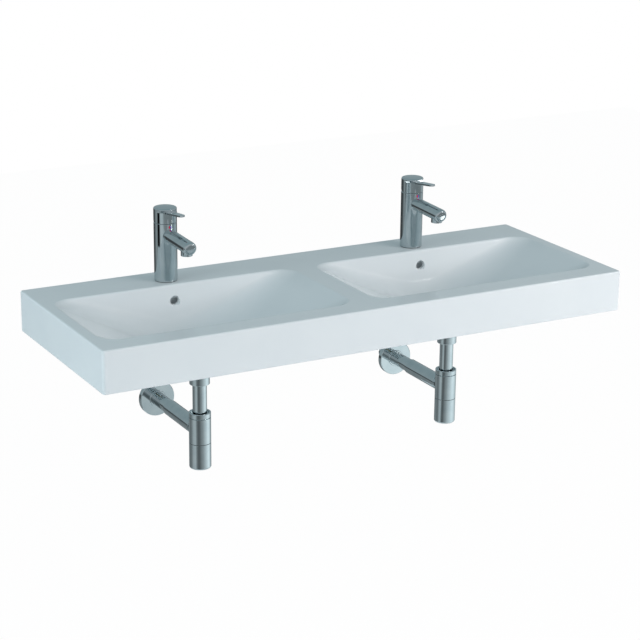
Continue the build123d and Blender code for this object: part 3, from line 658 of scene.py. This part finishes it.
def makeMixerBody(side, x):
    m = mixerSizes
    tap = uprightPlace(x, tapY, deckZ)
    body = turned(f"mixerBody_{side}", tap, [
        (0, m["cavityTop"], 0), (m["cavity"], m["cavityTop"], 0), (m["cavity"], m["base"], 0),
        (m["radius"], m["base"], m["baseEdge"]), (m["radius"], m["top"], m["topEdge"]),
        (m["nutBore"], m["top"], 0), (m["nutBore"], m["nutSeat"], 0), (m["seatBore"], m["nutSeat"], 0),
        (m["seatBore"], m["seat"], 0), (0, m["seat"], 0),
    ], 160)
    spout = turned("tool", spoutPlace(x), [
        (0, 5 * mm, 0), (m["spoutRadius"], 5 * mm, 0), (m["spoutRadius"], m["spoutReach"], m["spoutEnd"]),
        (0, m["spoutReach"], 0),
    ], 128, 10)
    cut(spout, rodTool(tap, m["seatBore"], m["seat"] - 20 * mm, m["top"]))
    weld(body, spout)
    cut(body, rodTool(spoutPlace(x), m["spoutBore"], m["boreStart"], m["boreEnd"]))
    nozzle = uprightPlace(x, tapY - m["aeratorSetback"], deckZ)
    cut(body, rodTool(nozzle, m["socket"], m["aeratorBottom"] - 3 * mm, m["aeratorTop"]))
    for way in (-1, 1):
        hose = uprightPlace(x + way * m["hoseSpread"], tapY + m["hoseOffset"], deckZ)
        cut(body, rodTool(hose, m["hoseBore"], m["cavityTop"] - 5 * mm, m["seat"] + 5 * mm, 48))
    stud = uprightPlace(x, tapY + m["studOffset"], deckZ)
    cut(body, rodTool(stud, m["studBore"], m["cavityTop"] - 5 * mm, m["studTop"], 48))
    front = outwardPlace(x, deckZ + m["indicatorHeight"], tapY)
    cut(body, rodTool(front, m["indicatorRadius"] + 0.05 * mm, -m["radius"] - 3 * mm, -m["radius"] + m["indicatorDepth"], 48))
    polish(body)
    dress(body, chrome, "root", "chrome", f"tap_body_{side}")
    button = turned(f"indicatorButton_{side}", front, [
        (0, -m["radius"] + m["indicatorDepth"], 0), (m["indicatorRadius"], -m["radius"] + m["indicatorDepth"], 0),
        (m["indicatorRadius"], -m["radius"] - m["indicatorProud"], 0.4 * mm), (0, -m["radius"] - m["indicatorProud"], 0),
    ], 48)
    polish(button)
    dress(button, indicator, "root", "indicator_plastic", f"tap_indicator_{side}")


handleSizes = {
    "radius": 26.5 * mm, "bottom": 136.6 * mm, "top": 172 * mm, "crown": 1.5 * mm, "edge": 3.5 * mm,
    "wall": 3.5 * mm, "ceiling": 158 * mm, "bossRadius": 9 * mm, "bossBottom": 144 * mm,
    "slotFloor": 162 * mm, "slotTop": 167.5 * mm, "slotSetback": 9 * mm, "reach": 97 * mm,
    "rootWidth": 25 * mm, "tipWidth": 15 * mm, "thickness": 4.8 * mm, "height": 156.5 * mm, "rise": 7.0,
    "bevel": 1.1 * mm,
    "stem": 8.1 * mm, "stemTop": 155.6 * mm, "travel": 21.5, "screwRadius": 2.6 * mm, "screwHeight": 150 * mm,
    "bottomEdge": 0.5 * mm,
}


def makeHandle(side, x):
    h = handleSizes
    tap = uprightPlace(x, tapY, deckZ)
    crownRadius = (h["radius"] ** 2 + h["crown"] ** 2) / (2 * h["crown"])
    crown = []
    shoulder = h["top"] - h["crown"]
    for k in range(7):
        r = (h["radius"] - h["edge"]) * (1 - k / 6)
        crown.append((r, h["top"] - crownRadius + math.sqrt(crownRadius ** 2 - r ** 2), 0))
    handle = turned(f"leverHandle_{side}", tap, [
        (0, h["bossBottom"], 0), (h["bossRadius"], h["bossBottom"], 0), (h["bossRadius"], h["ceiling"], 0),
        (h["radius"] - h["wall"], h["ceiling"], 0), (h["radius"] - h["wall"], h["bottom"], 0),
        (h["radius"], h["bottom"], h["bottomEdge"]), (h["radius"], shoulder, h["edge"]),
    ] + crown[1:], 160, 10)
    cut(handle, blockTool(
        (x - 2 * h["radius"], tapY - 2 * h["radius"], deckZ + h["slotFloor"]),
        (x + 2 * h["radius"], tapY - h["slotSetback"], deckZ + h["slotTop"]),
    ))
    rise = math.radians(h["rise"])
    place = Matrix.Translation((x, tapY, deckZ + h["height"])) @ Matrix.Rotation(-rise, 4, "X")
    tip = h["tipWidth"] / 2
    outline = [(-h["rootWidth"] / 2, -h["slotSetback"] / 2)]
    outline += [(-tip * math.cos(a), tip - h["reach"] - tip * math.sin(a)) for a in [math.pi * k / 24 for k in range(25)]]
    outline += [(h["rootWidth"] / 2, -h["slotSetback"] / 2)]
    tongue = prismTool(outline, place, 0, h["thickness"])
    rounding = tongue.modifiers.new("rounding", "BEVEL")
    rounding.width = h["bevel"]
    rounding.segments = 4
    rounding.limit_method = "ANGLE"
    rounding.angle_limit = math.radians(40)
    bakeModifiers(tongue)
    faceOutwards(tongue)
    weld(handle, tongue)
    reach = h["radius"] + 2 * mm
    slope = math.tan(math.radians(h["travel"]))
    relief = [(0, h["bottom"] - 1e-6), (0, h["bottom"] - 2 * mm), (reach, h["bottom"] - 2 * mm), (reach, h["bottom"] + reach * slope)]
    across = Matrix(((0, 0, 1, x), (1, 0, 0, tapY), (0, 1, 0, deckZ), (0, 0, 0, 1)))
    cut(handle, prismTool(relief, across, -reach, reach))
    half = h["stem"] / 2
    cut(handle, blockTool(
        (x - half, tapY - half, deckZ + h["bossBottom"] - 2 * mm), (x + half, tapY + half, deckZ + h["stemTop"]),
    ))
    back = outwardPlace(x, deckZ + h["screwHeight"], tapY)
    cut(handle, rodTool(back, h["screwRadius"], 0, h["radius"] + 3 * mm, 48))
    polish(handle)
    dress(handle, chrome, f"mixer_lever_{side}", "chrome", f"tap_handle_{side}")


aeratorSizes = {
    "radius": 13.2 * mm, "wall": 2.2 * mm, "bottom": 85.5 * mm, "top": 98.4 * mm, "edge": 0.6 * mm,
    "insertBottom": 86.5 * mm, "jetRadius": 1.1 * mm, "jetRing": 6 * mm, "jetCount": 8, "jetWall": 0.5 * mm,
    "jetLength": 1.4 * mm,
}


def makeAerator(side, x):
    a = aeratorSizes
    nozzle = uprightPlace(x, tapY - mixerSizes["aeratorSetback"], deckZ)
    inner = a["radius"] - a["wall"]
    housing = turned(f"aeratorHousing_{side}", nozzle, [
        (inner, a["bottom"], 0.3 * mm), (a["radius"], a["bottom"], a["edge"]), (a["radius"], a["top"], 0), (inner, a["top"], 0),
    ])
    polish(housing)
    dress(housing, chrome, "root", "chrome", f"aerator_housing_{side}")


for side, x in sides.items():
    makeMixerBody(side, x)
    makeHandle(side, x)
    makeAerator(side, x)
print("mixers made")


# Wastes

wasteSizes = {
    "flangeRadius": 31.5 * mm, "flangeThick": 2 * mm, "top": -116.5 * mm, "length": 74 * mm,
    "thread": 20.9 * mm, "bore": 18.4 * mm, "plugRadius": 31 * mm, "plugBottom": -105.7 * mm,
    "plugThick": 4 * mm, "plugCrown": 1.6 * mm, "stemRadius": 3 * mm, "stemBottom": -137.7 * mm,
    "sealRadius": 26.05 * mm, "sealInner": 22.95 * mm, "sealDepth": 0.9 * mm,
}


def makePlug(side, x):
    w = wasteSizes
    drain = uprightPlace(x, wasteY, deckZ)
    top = w["plugBottom"] + w["plugThick"]
    crownRadius = (w["plugRadius"] ** 2 + w["plugCrown"] ** 2) / (2 * w["plugCrown"])
    crown = []
    for k in range(9):
        r = (w["plugRadius"] - 2 * mm) * (1 - k / 8)
        crown.append((r, top + w["plugCrown"] - crownRadius + math.sqrt(crownRadius ** 2 - r ** 2), 0))
    plug = turned(f"pushPlug_{side}", drain, [
        (0, w["stemBottom"], 0), (w["stemRadius"], w["stemBottom"], 0.4 * mm), (w["stemRadius"], w["plugBottom"], 0),
        (w["sealInner"], w["plugBottom"], 0), (w["sealInner"], w["plugBottom"] + w["sealDepth"], 0),
        (w["sealRadius"], w["plugBottom"] + w["sealDepth"], 0), (w["sealRadius"], w["plugBottom"], 0),
        (w["plugRadius"], w["plugBottom"], 0.4 * mm), (w["plugRadius"], top, 1.9 * mm),
    ] + crown[1:], 160, 8)
    polish(plug)
    dress(plug, chrome, f"push_plug_{side}", "chrome", f"waste_plug_{side}")


for side, x in sides.items():
    makePlug(side, x)
print("wastes made")


# Traps

trapSizes = {
    "pipe": 16.2 * mm, "tail": 16 * mm, "wall": 1 * mm, "looseGap": 0.3 * mm,
    "slipRadius": 23 * mm, "slipBottom": -195.5 * mm, "slipTop": -172.5 * mm, "slipLip": 2 * mm, "slipEdge": 1.5 * mm,
    "slipBore": 21 * mm, "tubeTop": -182 * mm, "tubeBottom": -345 * mm,
    "radius": 25 * mm, "top": -262 * mm, "nutHeight": 11 * mm, "rim": 4 * mm, "recess": 7 * mm, "nutEdge": 1 * mm,
    "groove": 1.5 * mm, "threadRadius": 21.9 * mm, "headBottom": -334 * mm, "cupTop": -335 * mm,
    "cupBottom": -395 * mm, "cupEdge": 4 * mm, "cupWall": 2 * mm, "outletHeight": -306 * mm,
    "bossRadius": 17.4 * mm, "bossReach": 33 * mm, "collarRadius": 18.4 * mm, "collarStart": 28.5 * mm,
    "collarLength": 133 * mm, "tailLength": 45 * mm, "armStart": 26 * mm,
    "rosetteRadius": 43 * mm, "rosetteThick": 12 * mm, "rosetteWall": 2.5 * mm, "hub": 20 * mm, "hubLip": 3 * mm,
    "rosetteEdge": 1.6 * mm, "rosetteBore": 16.25 * mm, "hubBack": 1 * mm,
}


def makeTrap(side, x):
    t = trapSizes
    drain = uprightPlace(x, wasteY, deckZ)
    loose = t["pipe"] + t["looseGap"]
    slipNut = turned(f"slipNut_{side}", drain, [
        (loose, t["slipBottom"], 0), (t["slipRadius"], t["slipBottom"], t["slipEdge"]),
        (t["slipRadius"], t["slipTop"], t["slipEdge"]), (t["slipBore"], t["slipTop"], 0),
        (t["slipBore"], t["slipBottom"] + t["slipLip"], 0), (loose, t["slipBottom"] + t["slipLip"], 0),
    ])
    inlet = turned(f"inletTube_{side}", drain, [
        (t["pipe"] - t["wall"], t["tubeBottom"], 0), (t["pipe"], t["tubeBottom"], 0),
        (t["pipe"], t["tubeTop"], 0), (t["pipe"] - t["wall"], t["tubeTop"], 0),
    ])
    nutBottom = t["top"] - t["nutHeight"]
    ringNut = turned(f"trapRingNut_{side}", drain, [
        (loose, nutBottom - 8 * mm, 0), (t["threadRadius"], nutBottom - 8 * mm, 0), (t["threadRadius"], nutBottom, 0),
        (t["radius"], nutBottom, 0.3 * mm), (t["radius"], t["top"], t["nutEdge"]),
        (t["radius"] - t["rim"], t["top"], t["nutEdge"]), (t["radius"] - t["rim"], t["top"] - t["recess"], 0.6 * mm),
        (loose, t["top"] - t["recess"], 0),
    ])
    spigot = t["radius"] - t["cupWall"] - t["looseGap"]
    chamber = spigot - t["cupWall"]
    sealBottom = nutBottom - 11 * mm
    head = turned(f"trapHead_{side}", drain, [
        (t["threadRadius"] + 0.1 * mm, nutBottom - t["groove"], 0), (t["radius"], nutBottom - t["groove"], 0.3 * mm),
        (t["radius"], t["headBottom"], 0.25 * mm), (spigot, t["headBottom"], 0), (spigot, t["headBottom"] - 10 * mm, 0),
        (chamber, t["headBottom"] - 10 * mm, 0), (chamber, sealBottom - 3 * mm, 0), (loose, sealBottom - 3 * mm, 0),
        (loose, sealBottom, 0), (t["threadRadius"] + 0.1 * mm, sealBottom, 0),
    ], 160)
    outlet = outwardPlace(x, deckZ + t["outletHeight"], wasteY)
    weld(head, rodTool(outlet, t["bossRadius"], chamber + 1.2 * mm, t["bossReach"]))
    cut(head, rodTool(outlet, t["pipe"] + 0.1 * mm, chamber / 2, t["bossReach"] + 5 * mm))
    cup = turned(f"trapCup_{side}", drain, [
        (0, t["cupBottom"], 0), (t["radius"], t["cupBottom"], t["cupEdge"]), (t["radius"], t["cupTop"], 0.25 * mm),
        (t["radius"] - t["cupWall"], t["cupTop"], 0), (t["radius"] - t["cupWall"], t["cupBottom"] + t["cupWall"], 2 * mm),
        (0, t["cupBottom"] + t["cupWall"], 0),
    ], 160, 8)
    collarEnd = t["collarStart"] + t["collarLength"]
    collar = turned(f"outletCollar_{side}", outlet, [
        (t["bossRadius"] + 0.1 * mm, t["collarStart"], 0), (t["collarRadius"], t["collarStart"], 0.6 * mm),
        (t["collarRadius"], collarEnd, 1.0 * mm), (t["pipe"] + 0.1 * mm, collarEnd, 0),
        (t["pipe"] + 0.1 * mm, t["bossReach"] + 0.1 * mm, 0), (t["bossRadius"] + 0.1 * mm, t["bossReach"] + 0.1 * mm, 0),
    ])
    wall = outwardPlace(x, deckZ + t["outletHeight"])
    arm = turned(f"outletArm_{side}", wall, [
        (t["pipe"] - t["wall"], wasteY + t["armStart"], 0), (t["pipe"], wasteY + t["armStart"], 0),
        (t["pipe"], 0, 0), (t["tail"], 0, 0), (t["tail"], t["tailLength"], 0), (t["pipe"] - t["wall"], t["tailLength"], 0),
    ])
    thick = t["rosetteThick"]
    rosette = turned(f"wallRosette_{side}", wall, [
        (t["rosetteBore"], -thick - t["hubLip"], 0.3 * mm), (t["hub"], -thick - t["hubLip"], 0.8 * mm),
        (t["hub"], -thick, 0.5 * mm), (t["rosetteRadius"], -thick, t["rosetteEdge"]), (t["rosetteRadius"], 0, 0),
        (t["rosetteRadius"] - t["rosetteWall"], 0, 0),
        (t["rosetteRadius"] - t["rosetteWall"], -thick + t["rosetteWall"], 0),
        (t["hub"], -thick + t["rosetteWall"], 0), (t["hub"], -t["hubBack"], 0), (t["rosetteBore"], -t["hubBack"], 0),
    ], 160)
    for piece in (slipNut, inlet, ringNut, head, cup, collar, arm, rosette):
        polish(piece)
    dress(slipNut, chrome, "root", "chrome", f"slip_nut_{side}")
    dress(inlet, chrome, "root", "chrome", f"inlet_tube_{side}")
    dress(ringNut, chrome, "root", "chrome", f"trap_nut_{side}")
    dress(head, chrome, "root", "chrome", f"trap_head_{side}")
    dress(cup, chrome, f"cup_{side}", "chrome", f"trap_cup_{side}")
    dress(collar, chrome, "root", "chrome", f"outlet_collar_{side}")
    dress(arm, chrome, "root", "chrome", f"outlet_arm_{side}")
    dress(rosette, chrome, f"rosette_{side}", "chrome", f"wall_rosette_{side}")


for side, x in sides.items():
    makeTrap(side, x)
print("traps made")


# What repeats: screw threads below the deck and the jets of the aerators, grown by node trees

threadSizes = {
    "stud": {"radius": 3.9 * mm, "ridge": 0.36 * mm, "pitch": 1.25 * mm, "setback": -60 * mm, "steps": 20},
    "waste": {"radius": 20.8 * mm, "ridge": 0.55 * mm, "pitch": 2.3 * mm, "setback": wasteY, "steps": 64},
    "clearance": 0.3 * mm,
}


def startNodes(name, inputs):
    tree = bpy.data.node_groups.new(name, "GeometryNodeTree")
    tree.is_modifier = True
    for label, kind in inputs:
        tree.interface.new_socket(name=label, in_out="INPUT", socket_type=kind)
    tree.interface.new_socket(name="Geometry", in_out="OUTPUT", socket_type="NodeSocketGeometry")
    return tree, tree.nodes.new("NodeGroupInput"), tree.nodes.new("NodeGroupOutput")


def addNode(tree, kind, links=(), **values):
    node = tree.nodes.new(kind)
    for label, value in values.items():
        node.inputs[label.replace("_", " ")].default_value = value
    for label, source in links:
        tree.links.new(source, node.inputs[label])
    return node


def endNodes(tree, given, out, instance):
    # one copy at each tap or waste, made real and given its material
    line = addNode(tree, "GeometryNodeMeshLine", [("Start Location", given.outputs["First place"]),
                                                  ("Offset", given.outputs["Step"])], Count=2)
    spots = addNode(tree, "GeometryNodeInstanceOnPoints", [("Points", line.outputs[0]), ("Instance", instance)])
    real = addNode(tree, "GeometryNodeRealizeInstances", [("Geometry", spots.outputs[0])])
    finish = addNode(tree, "GeometryNodeSetMaterial", [("Geometry", real.outputs[0]), ("Material", given.outputs["Material"])])
    tree.links.new(finish.outputs[0], out.inputs["Geometry"])
    return tree


def threadNodes():
    tree, given, out = startNodes("screwThread", [
        ("Radius", "NodeSocketFloat"), ("Ridge", "NodeSocketFloat"), ("Length", "NodeSocketFloat"),
        ("Turns", "NodeSocketFloat"), ("Steps", "NodeSocketInt"), ("First place", "NodeSocketVector"),
        ("Step", "NodeSocketVector"), ("Material", "NodeSocketMaterial"),
    ])
    spiral = addNode(tree, "GeometryNodeCurveSpiral", [
        ("Resolution", given.outputs["Steps"]), ("Rotations", given.outputs["Turns"]),
        ("Start Radius", given.outputs["Radius"]), ("End Radius", given.outputs["Radius"]),
        ("Height", given.outputs["Length"]),
    ])
    profile = addNode(tree, "GeometryNodeCurvePrimitiveCircle", [("Radius", given.outputs["Ridge"])], Resolution=4)
    sweep = addNode(tree, "GeometryNodeCurveToMesh", [
        ("Curve", spiral.outputs[0]), ("Profile Curve", profile.outputs[0]),
    ], Fill_Caps=True)
    return endNodes(tree, given, out, sweep.outputs[0])


def jetNodes():
    tree, given, out = startNodes("jetNozzles", [
        ("Ring radius", "NodeSocketFloat"), ("Count", "NodeSocketInt"), ("Jet radius", "NodeSocketFloat"),
        ("Wall", "NodeSocketFloat"), ("Length", "NodeSocketFloat"), ("First place", "NodeSocketVector"),
        ("Step", "NodeSocketVector"), ("Material", "NodeSocketMaterial"),
    ])
    ring = addNode(tree, "GeometryNodeCurvePrimitiveCircle", [("Radius", given.outputs["Jet radius"])], Resolution=20)
    section = addNode(tree, "GeometryNodeCurvePrimitiveQuadrilateral", [
        ("Width", given.outputs["Wall"]), ("Height", given.outputs["Length"]),
    ])
    nozzle = addNode(tree, "GeometryNodeCurveToMesh", [("Curve", ring.outputs[0]), ("Profile Curve", section.outputs[0])])
    around = addNode(tree, "GeometryNodeMeshCircle", [
        ("Vertices", given.outputs["Count"]), ("Radius", given.outputs["Ring radius"]),
    ])
    jets = addNode(tree, "GeometryNodeInstanceOnPoints", [("Points", around.outputs[0]), ("Instance", nozzle.outputs[0])])
    return endNodes(tree, given, out, jets.outputs[0])


def growPiece(name, tree, values):
    piece = bpy.data.objects.new(name, bpy.data.meshes.new(name))
    bpy.context.scene.collection.objects.link(piece)
    grown = piece.modifiers.new("grown", "NODES")
    grown.node_group = tree
    for item in tree.interface.items_tree:
        if item.in_out == "INPUT":
            grown[item.identifier] = values[item.name]
    bakeModifiers(piece)
    faceOutwards(piece)
    return piece


def makeThreads(name, size, low, high, material, tree):
    length = high - low
    piece = growPiece(name, tree, {
        "Radius": size["radius"], "Ridge": size["ridge"], "Length": length, "Turns": length / size["pitch"],
        "Steps": size["steps"], "First place": (sides["left"], size["setback"], low),
        "Step": (sides["right"] - sides["left"], 0, 0), "Material": material,
    })
    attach(piece, "root")
    print(name, len(piece.data.polygons), "faces")


def makeJets():
    a = aeratorSizes
    piece = growPiece("aeratorJets", jetNodes(), {
        "Ring radius": a["jetRing"], "Count": a["jetCount"], "Jet radius": a["jetRadius"] + a["jetWall"] / 2,
        "Wall": a["jetWall"], "Length": a["jetLength"],
        "First place": (sides["left"], tapY - mixerSizes["aeratorSetback"], deckZ + a["insertBottom"]),
        "Step": (sides["right"] - sides["left"], 0, 0), "Material": whitePlastic,
    })
    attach(piece, "root")
    print("aeratorJets", len(piece.data.polygons), "faces")


gap = threadSizes["clearance"]
threadTree = threadNodes()
makeThreads("studThreads", threadSizes["stud"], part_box("tap_studs")[0].z + gap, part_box("tap_nuts")[0].z - gap,
            zinc, threadTree)
makeThreads("wasteThreads", threadSizes["waste"], deckZ + trapSizes["slipTop"] + gap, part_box("waste_back_nuts")[0].z - gap,
            chrome, threadTree)
makeJets()


# Studio: floor, world and lamps

studio = {
    "floorZ": deckZ - 0.85, "floorSize": 9.0, "floorColour": (0.93, 0.94, 0.95),
    "top": (0.44, 0.59, 0.635), "front": (0.845, 0.885, 0.93), "back": (0.50, 0.62, 0.66), "strength": 0.62,
    "seenWhite": 0.98,
}


def makeFloor():
    s = studio["floorSize"] / 2
    z = studio["floorZ"]
    floor = addPiece("floor", [(-s, -s, z), (s, -s, z), (s, s, z), (-s, s, z)], [[0, 1, 2, 3]])
    material, tree, shader, where = startMaterial("paleFloor")
    shader.inputs["Roughness"].default_value = 0.9
    grain = addNoise(tree, where, 3.0, 2.0)
    tree.links.new(blendColours(tree, grain, studio["floorColour"], (0.91, 0.92, 0.93)), shader.inputs["Base Color"])
    path = tree.nodes.new("ShaderNodeLightPath")
    glow = tree.nodes.new("ShaderNodeEmission")
    glow.inputs["Strength"].default_value = 1.0
    glow.inputs["Color"].default_value = (1, 1, 1, 1)
    seen = tree.nodes.new("ShaderNodeMixShader")
    share = tree.nodes.new("ShaderNodeMath")
    share.operation = "MULTIPLY"
    share.inputs[1].default_value = studio["seenWhite"]
    tree.links.new(path.outputs["Is Camera Ray"], share.inputs[0])
    tree.links.new(share.outputs[0], seen.inputs[0])
    tree.links.new(shader.outputs[0], seen.inputs[1])
    tree.links.new(glow.outputs[0], seen.inputs[2])
    facing = tree.nodes.new("ShaderNodeNewGeometry")
    clear = tree.nodes.new("ShaderNodeBsdfTransparent")
    below = tree.nodes.new("ShaderNodeMixShader")
    tree.links.new(facing.outputs["Backfacing"], below.inputs[0])
    tree.links.new(seen.outputs[0], below.inputs[1])
    tree.links.new(clear.outputs[0], below.inputs[2])
    tree.links.new(below.outputs[0], tree.nodes["Material Output"].inputs["Surface"])
    setMaterial(floor, material)


# two rings of floor that only reflections see: the taps look into the far one, the traps into the near one
# each stop is (degrees round the basin from +X, brightness)
mats = {
    "centreY": -0.15, "lift": 1 * mm, "segments": 72, "tint": (0.88, 1.0, 1.04),
    "near": (0.75, 2.45, [
        (0, 0.80), (35, 0.30), (60, 0.25), (119, 0.28), (137, 0.19), (151, 0.23), (164, 0.32), (176, 0.50),
        (197, 0.57), (207, 0.30), (217, 0.16), (227, 0.14), (237, 0.19), (246, 0.28), (265, 0.42), (275, 0.56),
        (285, 0.68), (307, 0.93), (319, 1.09), (332, 1.15), (346, 0.99),
    ]),
    "far": (2.45, 14.0, [
        (0, 0.50), (25, 0.45), (36, 0.02), (72, 0.02), (80, 0.10), (119, 0.06), (137, 0.22), (151, 0.38), (164, 0.22),
        (168, 0.003), (184, 0.003), (188, 0.20), (196, 0.60), (217, 0.57), (227, 0.34), (237, 0.28), (300, 0.25),
        (335, 0.27), (350, 0.38),
    ]),
}


def makeMat(name):
    inner, outer, stops = mats[name]
    count = mats["segments"]
    verts = []
    for k in range(count):
        angle = 2 * math.pi * k / count
        for radius in (inner, outer):
            verts.append((
                radius * math.cos(angle), mats["centreY"] + radius * math.sin(angle), studio["floorZ"] + mats["lift"],
            ))
    faces = [[2 * k, 2 * k + 1, (2 * k + 3) % (2 * count), (2 * k + 2) % (2 * count)] for k in range(count)]
    mat = addPiece(f"{name}Mat", verts, faces)
    material, tree, shader, where = startMaterial(f"{name}Mat")
    # turned so that the gradient starts at +X
    centred = tree.nodes.new("ShaderNodeMapping")
    centred.vector_type = "TEXTURE"
    centred.inputs["Location"].default_value = (0, mats["centreY"], 0)
    centred.inputs["Rotation"].default_value = (0, 0, math.pi)
    tree.links.new(where, centred.inputs["Vector"])
    around = tree.nodes.new("ShaderNodeTexGradient")
    around.gradient_type = "RADIAL"
    tree.links.new(centred.outputs["Vector"], around.inputs["Vector"])
    ramp = tree.nodes.new("ShaderNodeValToRGB")
    points = ramp.color_ramp.elements
    closed = stops + [(360, stops[0][1])]
    while len(points) < len(closed):
        points.new(0.5)
    for point, (degrees, brightness) in zip(points, closed):
        point.position = degrees / 360
        point.color = (*[share * brightness for share in mats["tint"]], 1)
    tree.links.new(around.outputs["Fac"], ramp.inputs["Fac"])
    shader.inputs["Base Color"].default_value = (0, 0, 0, 1)
    shader.inputs["Specular IOR Level"].default_value = 0.0
    shader.inputs["Emission Strength"].default_value = 1.0
    tree.links.new(ramp.outputs["Color"], shader.inputs["Emission Color"])
    setMaterial(mat, material)
    hideFromLight(mat)


def hideFromLight(piece):
    # a stage piece that neither the camera nor the light on the object meets
    piece.visible_camera = False
    piece.visible_diffuse = False
    piece.visible_shadow = False


def makeGlint():
    # a small bright panel for the white glints on the polished edges
    g = {"place": (2.3, -2.9, 1.1), "half": 0.16, "strength": 9.0}
    x, y, z = g["place"]
    h = g["half"]
    panel = addPiece("glintPanel", [(x - h, y - h, z - h), (x + h, y + h, z - h), (x + h, y + h, z + h), (x - h, y - h, z + h)], [[0, 1, 2, 3]])
    material, tree, shader, where = startMaterial("glintPanel")
    shader.inputs["Base Color"].default_value = (0, 0, 0, 1)
    shader.inputs["Emission Color"].default_value = (1, 1, 1, 1)
    shader.inputs["Emission Strength"].default_value = g["strength"]
    setMaterial(panel, material)
    hideFromLight(panel)


def makeWorld():
    world = bpy.data.worlds.new("studioWorld")
    bpy.context.scene.world = world
    world.use_nodes = True
    tree = world.node_tree
    for node in list(tree.nodes):
        tree.nodes.remove(node)
    where = tree.nodes.new("ShaderNodeTexCoord")
    split = tree.nodes.new("ShaderNodeSeparateXYZ")
    tree.links.new(where.outputs["Generated"], split.inputs["Vector"])
    frontShare = tree.nodes.new("ShaderNodeMapRange")
    frontShare.inputs["From Min"].default_value = 0.9
    frontShare.inputs["From Max"].default_value = -0.9
    tree.links.new(split.outputs["Y"], frontShare.inputs["Value"])
    around = tree.nodes.new("ShaderNodeMix")
    around.data_type = "RGBA"
    around.inputs[6].default_value = (*studio["back"], 1)
    around.inputs[7].default_value = (*studio["front"], 1)
    tree.links.new(frontShare.outputs["Result"], around.inputs[0])
    upShare = tree.nodes.new("ShaderNodeMapRange")
    upShare.inputs["From Min"].default_value = 0.15
    upShare.inputs["From Max"].default_value = 0.85
    tree.links.new(split.outputs["Z"], upShare.inputs["Value"])
    sky = tree.nodes.new("ShaderNodeMix")
    sky.data_type = "RGBA"
    sky.inputs[7].default_value = (*studio["top"], 1)
    tree.links.new(upShare.outputs["Result"], sky.inputs[0])
    tree.links.new(around.outputs[2], sky.inputs[6])
    light = tree.nodes.new("ShaderNodeBackground")
    light.inputs["Strength"].default_value = studio["strength"]
    tree.links.new(sky.outputs[2], light.inputs["Color"])
    white = tree.nodes.new("ShaderNodeBackground")
    white.inputs["Color"].default_value = (1, 1, 1, 1)
    white.inputs["Strength"].default_value = 1.0
    path = tree.nodes.new("ShaderNodeLightPath")
    choose = tree.nodes.new("ShaderNodeMixShader")
    tree.links.new(path.outputs["Is Camera Ray"], choose.inputs[0])
    tree.links.new(light.outputs[0], choose.inputs[1])
    tree.links.new(white.outputs[0], choose.inputs[2])
    out = tree.nodes.new("ShaderNodeOutputWorld")
    tree.links.new(choose.outputs[0], out.inputs["Surface"])


def addLamp(name, place, target, size, power, colour=(1, 1, 1)):
    lamp = bpy.data.lights.new(name, "AREA")
    lamp.shape = "RECTANGLE"
    lamp.size, lamp.size_y = size
    lamp.energy = power
    lamp.color = colour
    holder = bpy.data.objects.new(name, lamp)
    bpy.context.scene.collection.objects.link(holder)
    holder.location = place
    holder.rotation_mode = "QUATERNION"
    holder.rotation_quaternion = (Vector(target) - Vector(place)).to_track_quat("-Z", "Y")
    holder.visible_glossy = False
    return holder


def addCamera():
    # the photograph's own viewpoint, worked out from the basin's corners
    view = {
        "place": (-2.0366, -3.9155, 1.2990), "forward": (0.45873, 0.83510, -0.30361),
        "up": (0.13676, 0.27125, 0.95274), "lens": 108.15,
    }
    camera = bpy.data.cameras.new("photoCamera")
    camera.lens = view["lens"]
    camera.sensor_width = 36.0
    camera.clip_end = 60
    holder = bpy.data.objects.new("photoCamera", camera)
    bpy.context.scene.collection.objects.link(holder)
    forward = Vector(view["forward"]).normalized()
    up = Vector(view["up"]).normalized()
    right = forward.cross(up).normalized()
    turn = Matrix((right, right.cross(forward), -forward)).transposed()
    holder.matrix_world = Matrix.Translation(view["place"]) @ turn.to_4x4()
    bpy.context.scene.camera = holder


makeFloor()
makeMat("near")
makeMat("far")
makeGlint()
makeWorld()
addLamp("keyLamp", (2.6, -3.2, 1.2), (0.2, -0.2, 0), (2.4, 1.6), 95, (1.0, 0.965, 0.96))
addLamp("leftLamp", (-3.1, -0.6, 0.75), (-0.3, -0.2, 0), (1.6, 1.2), 35, (0.83, 0.95, 1.0))
addCamera()
bpy.context.scene.view_settings.view_transform = "Standard"

print("scene ready")
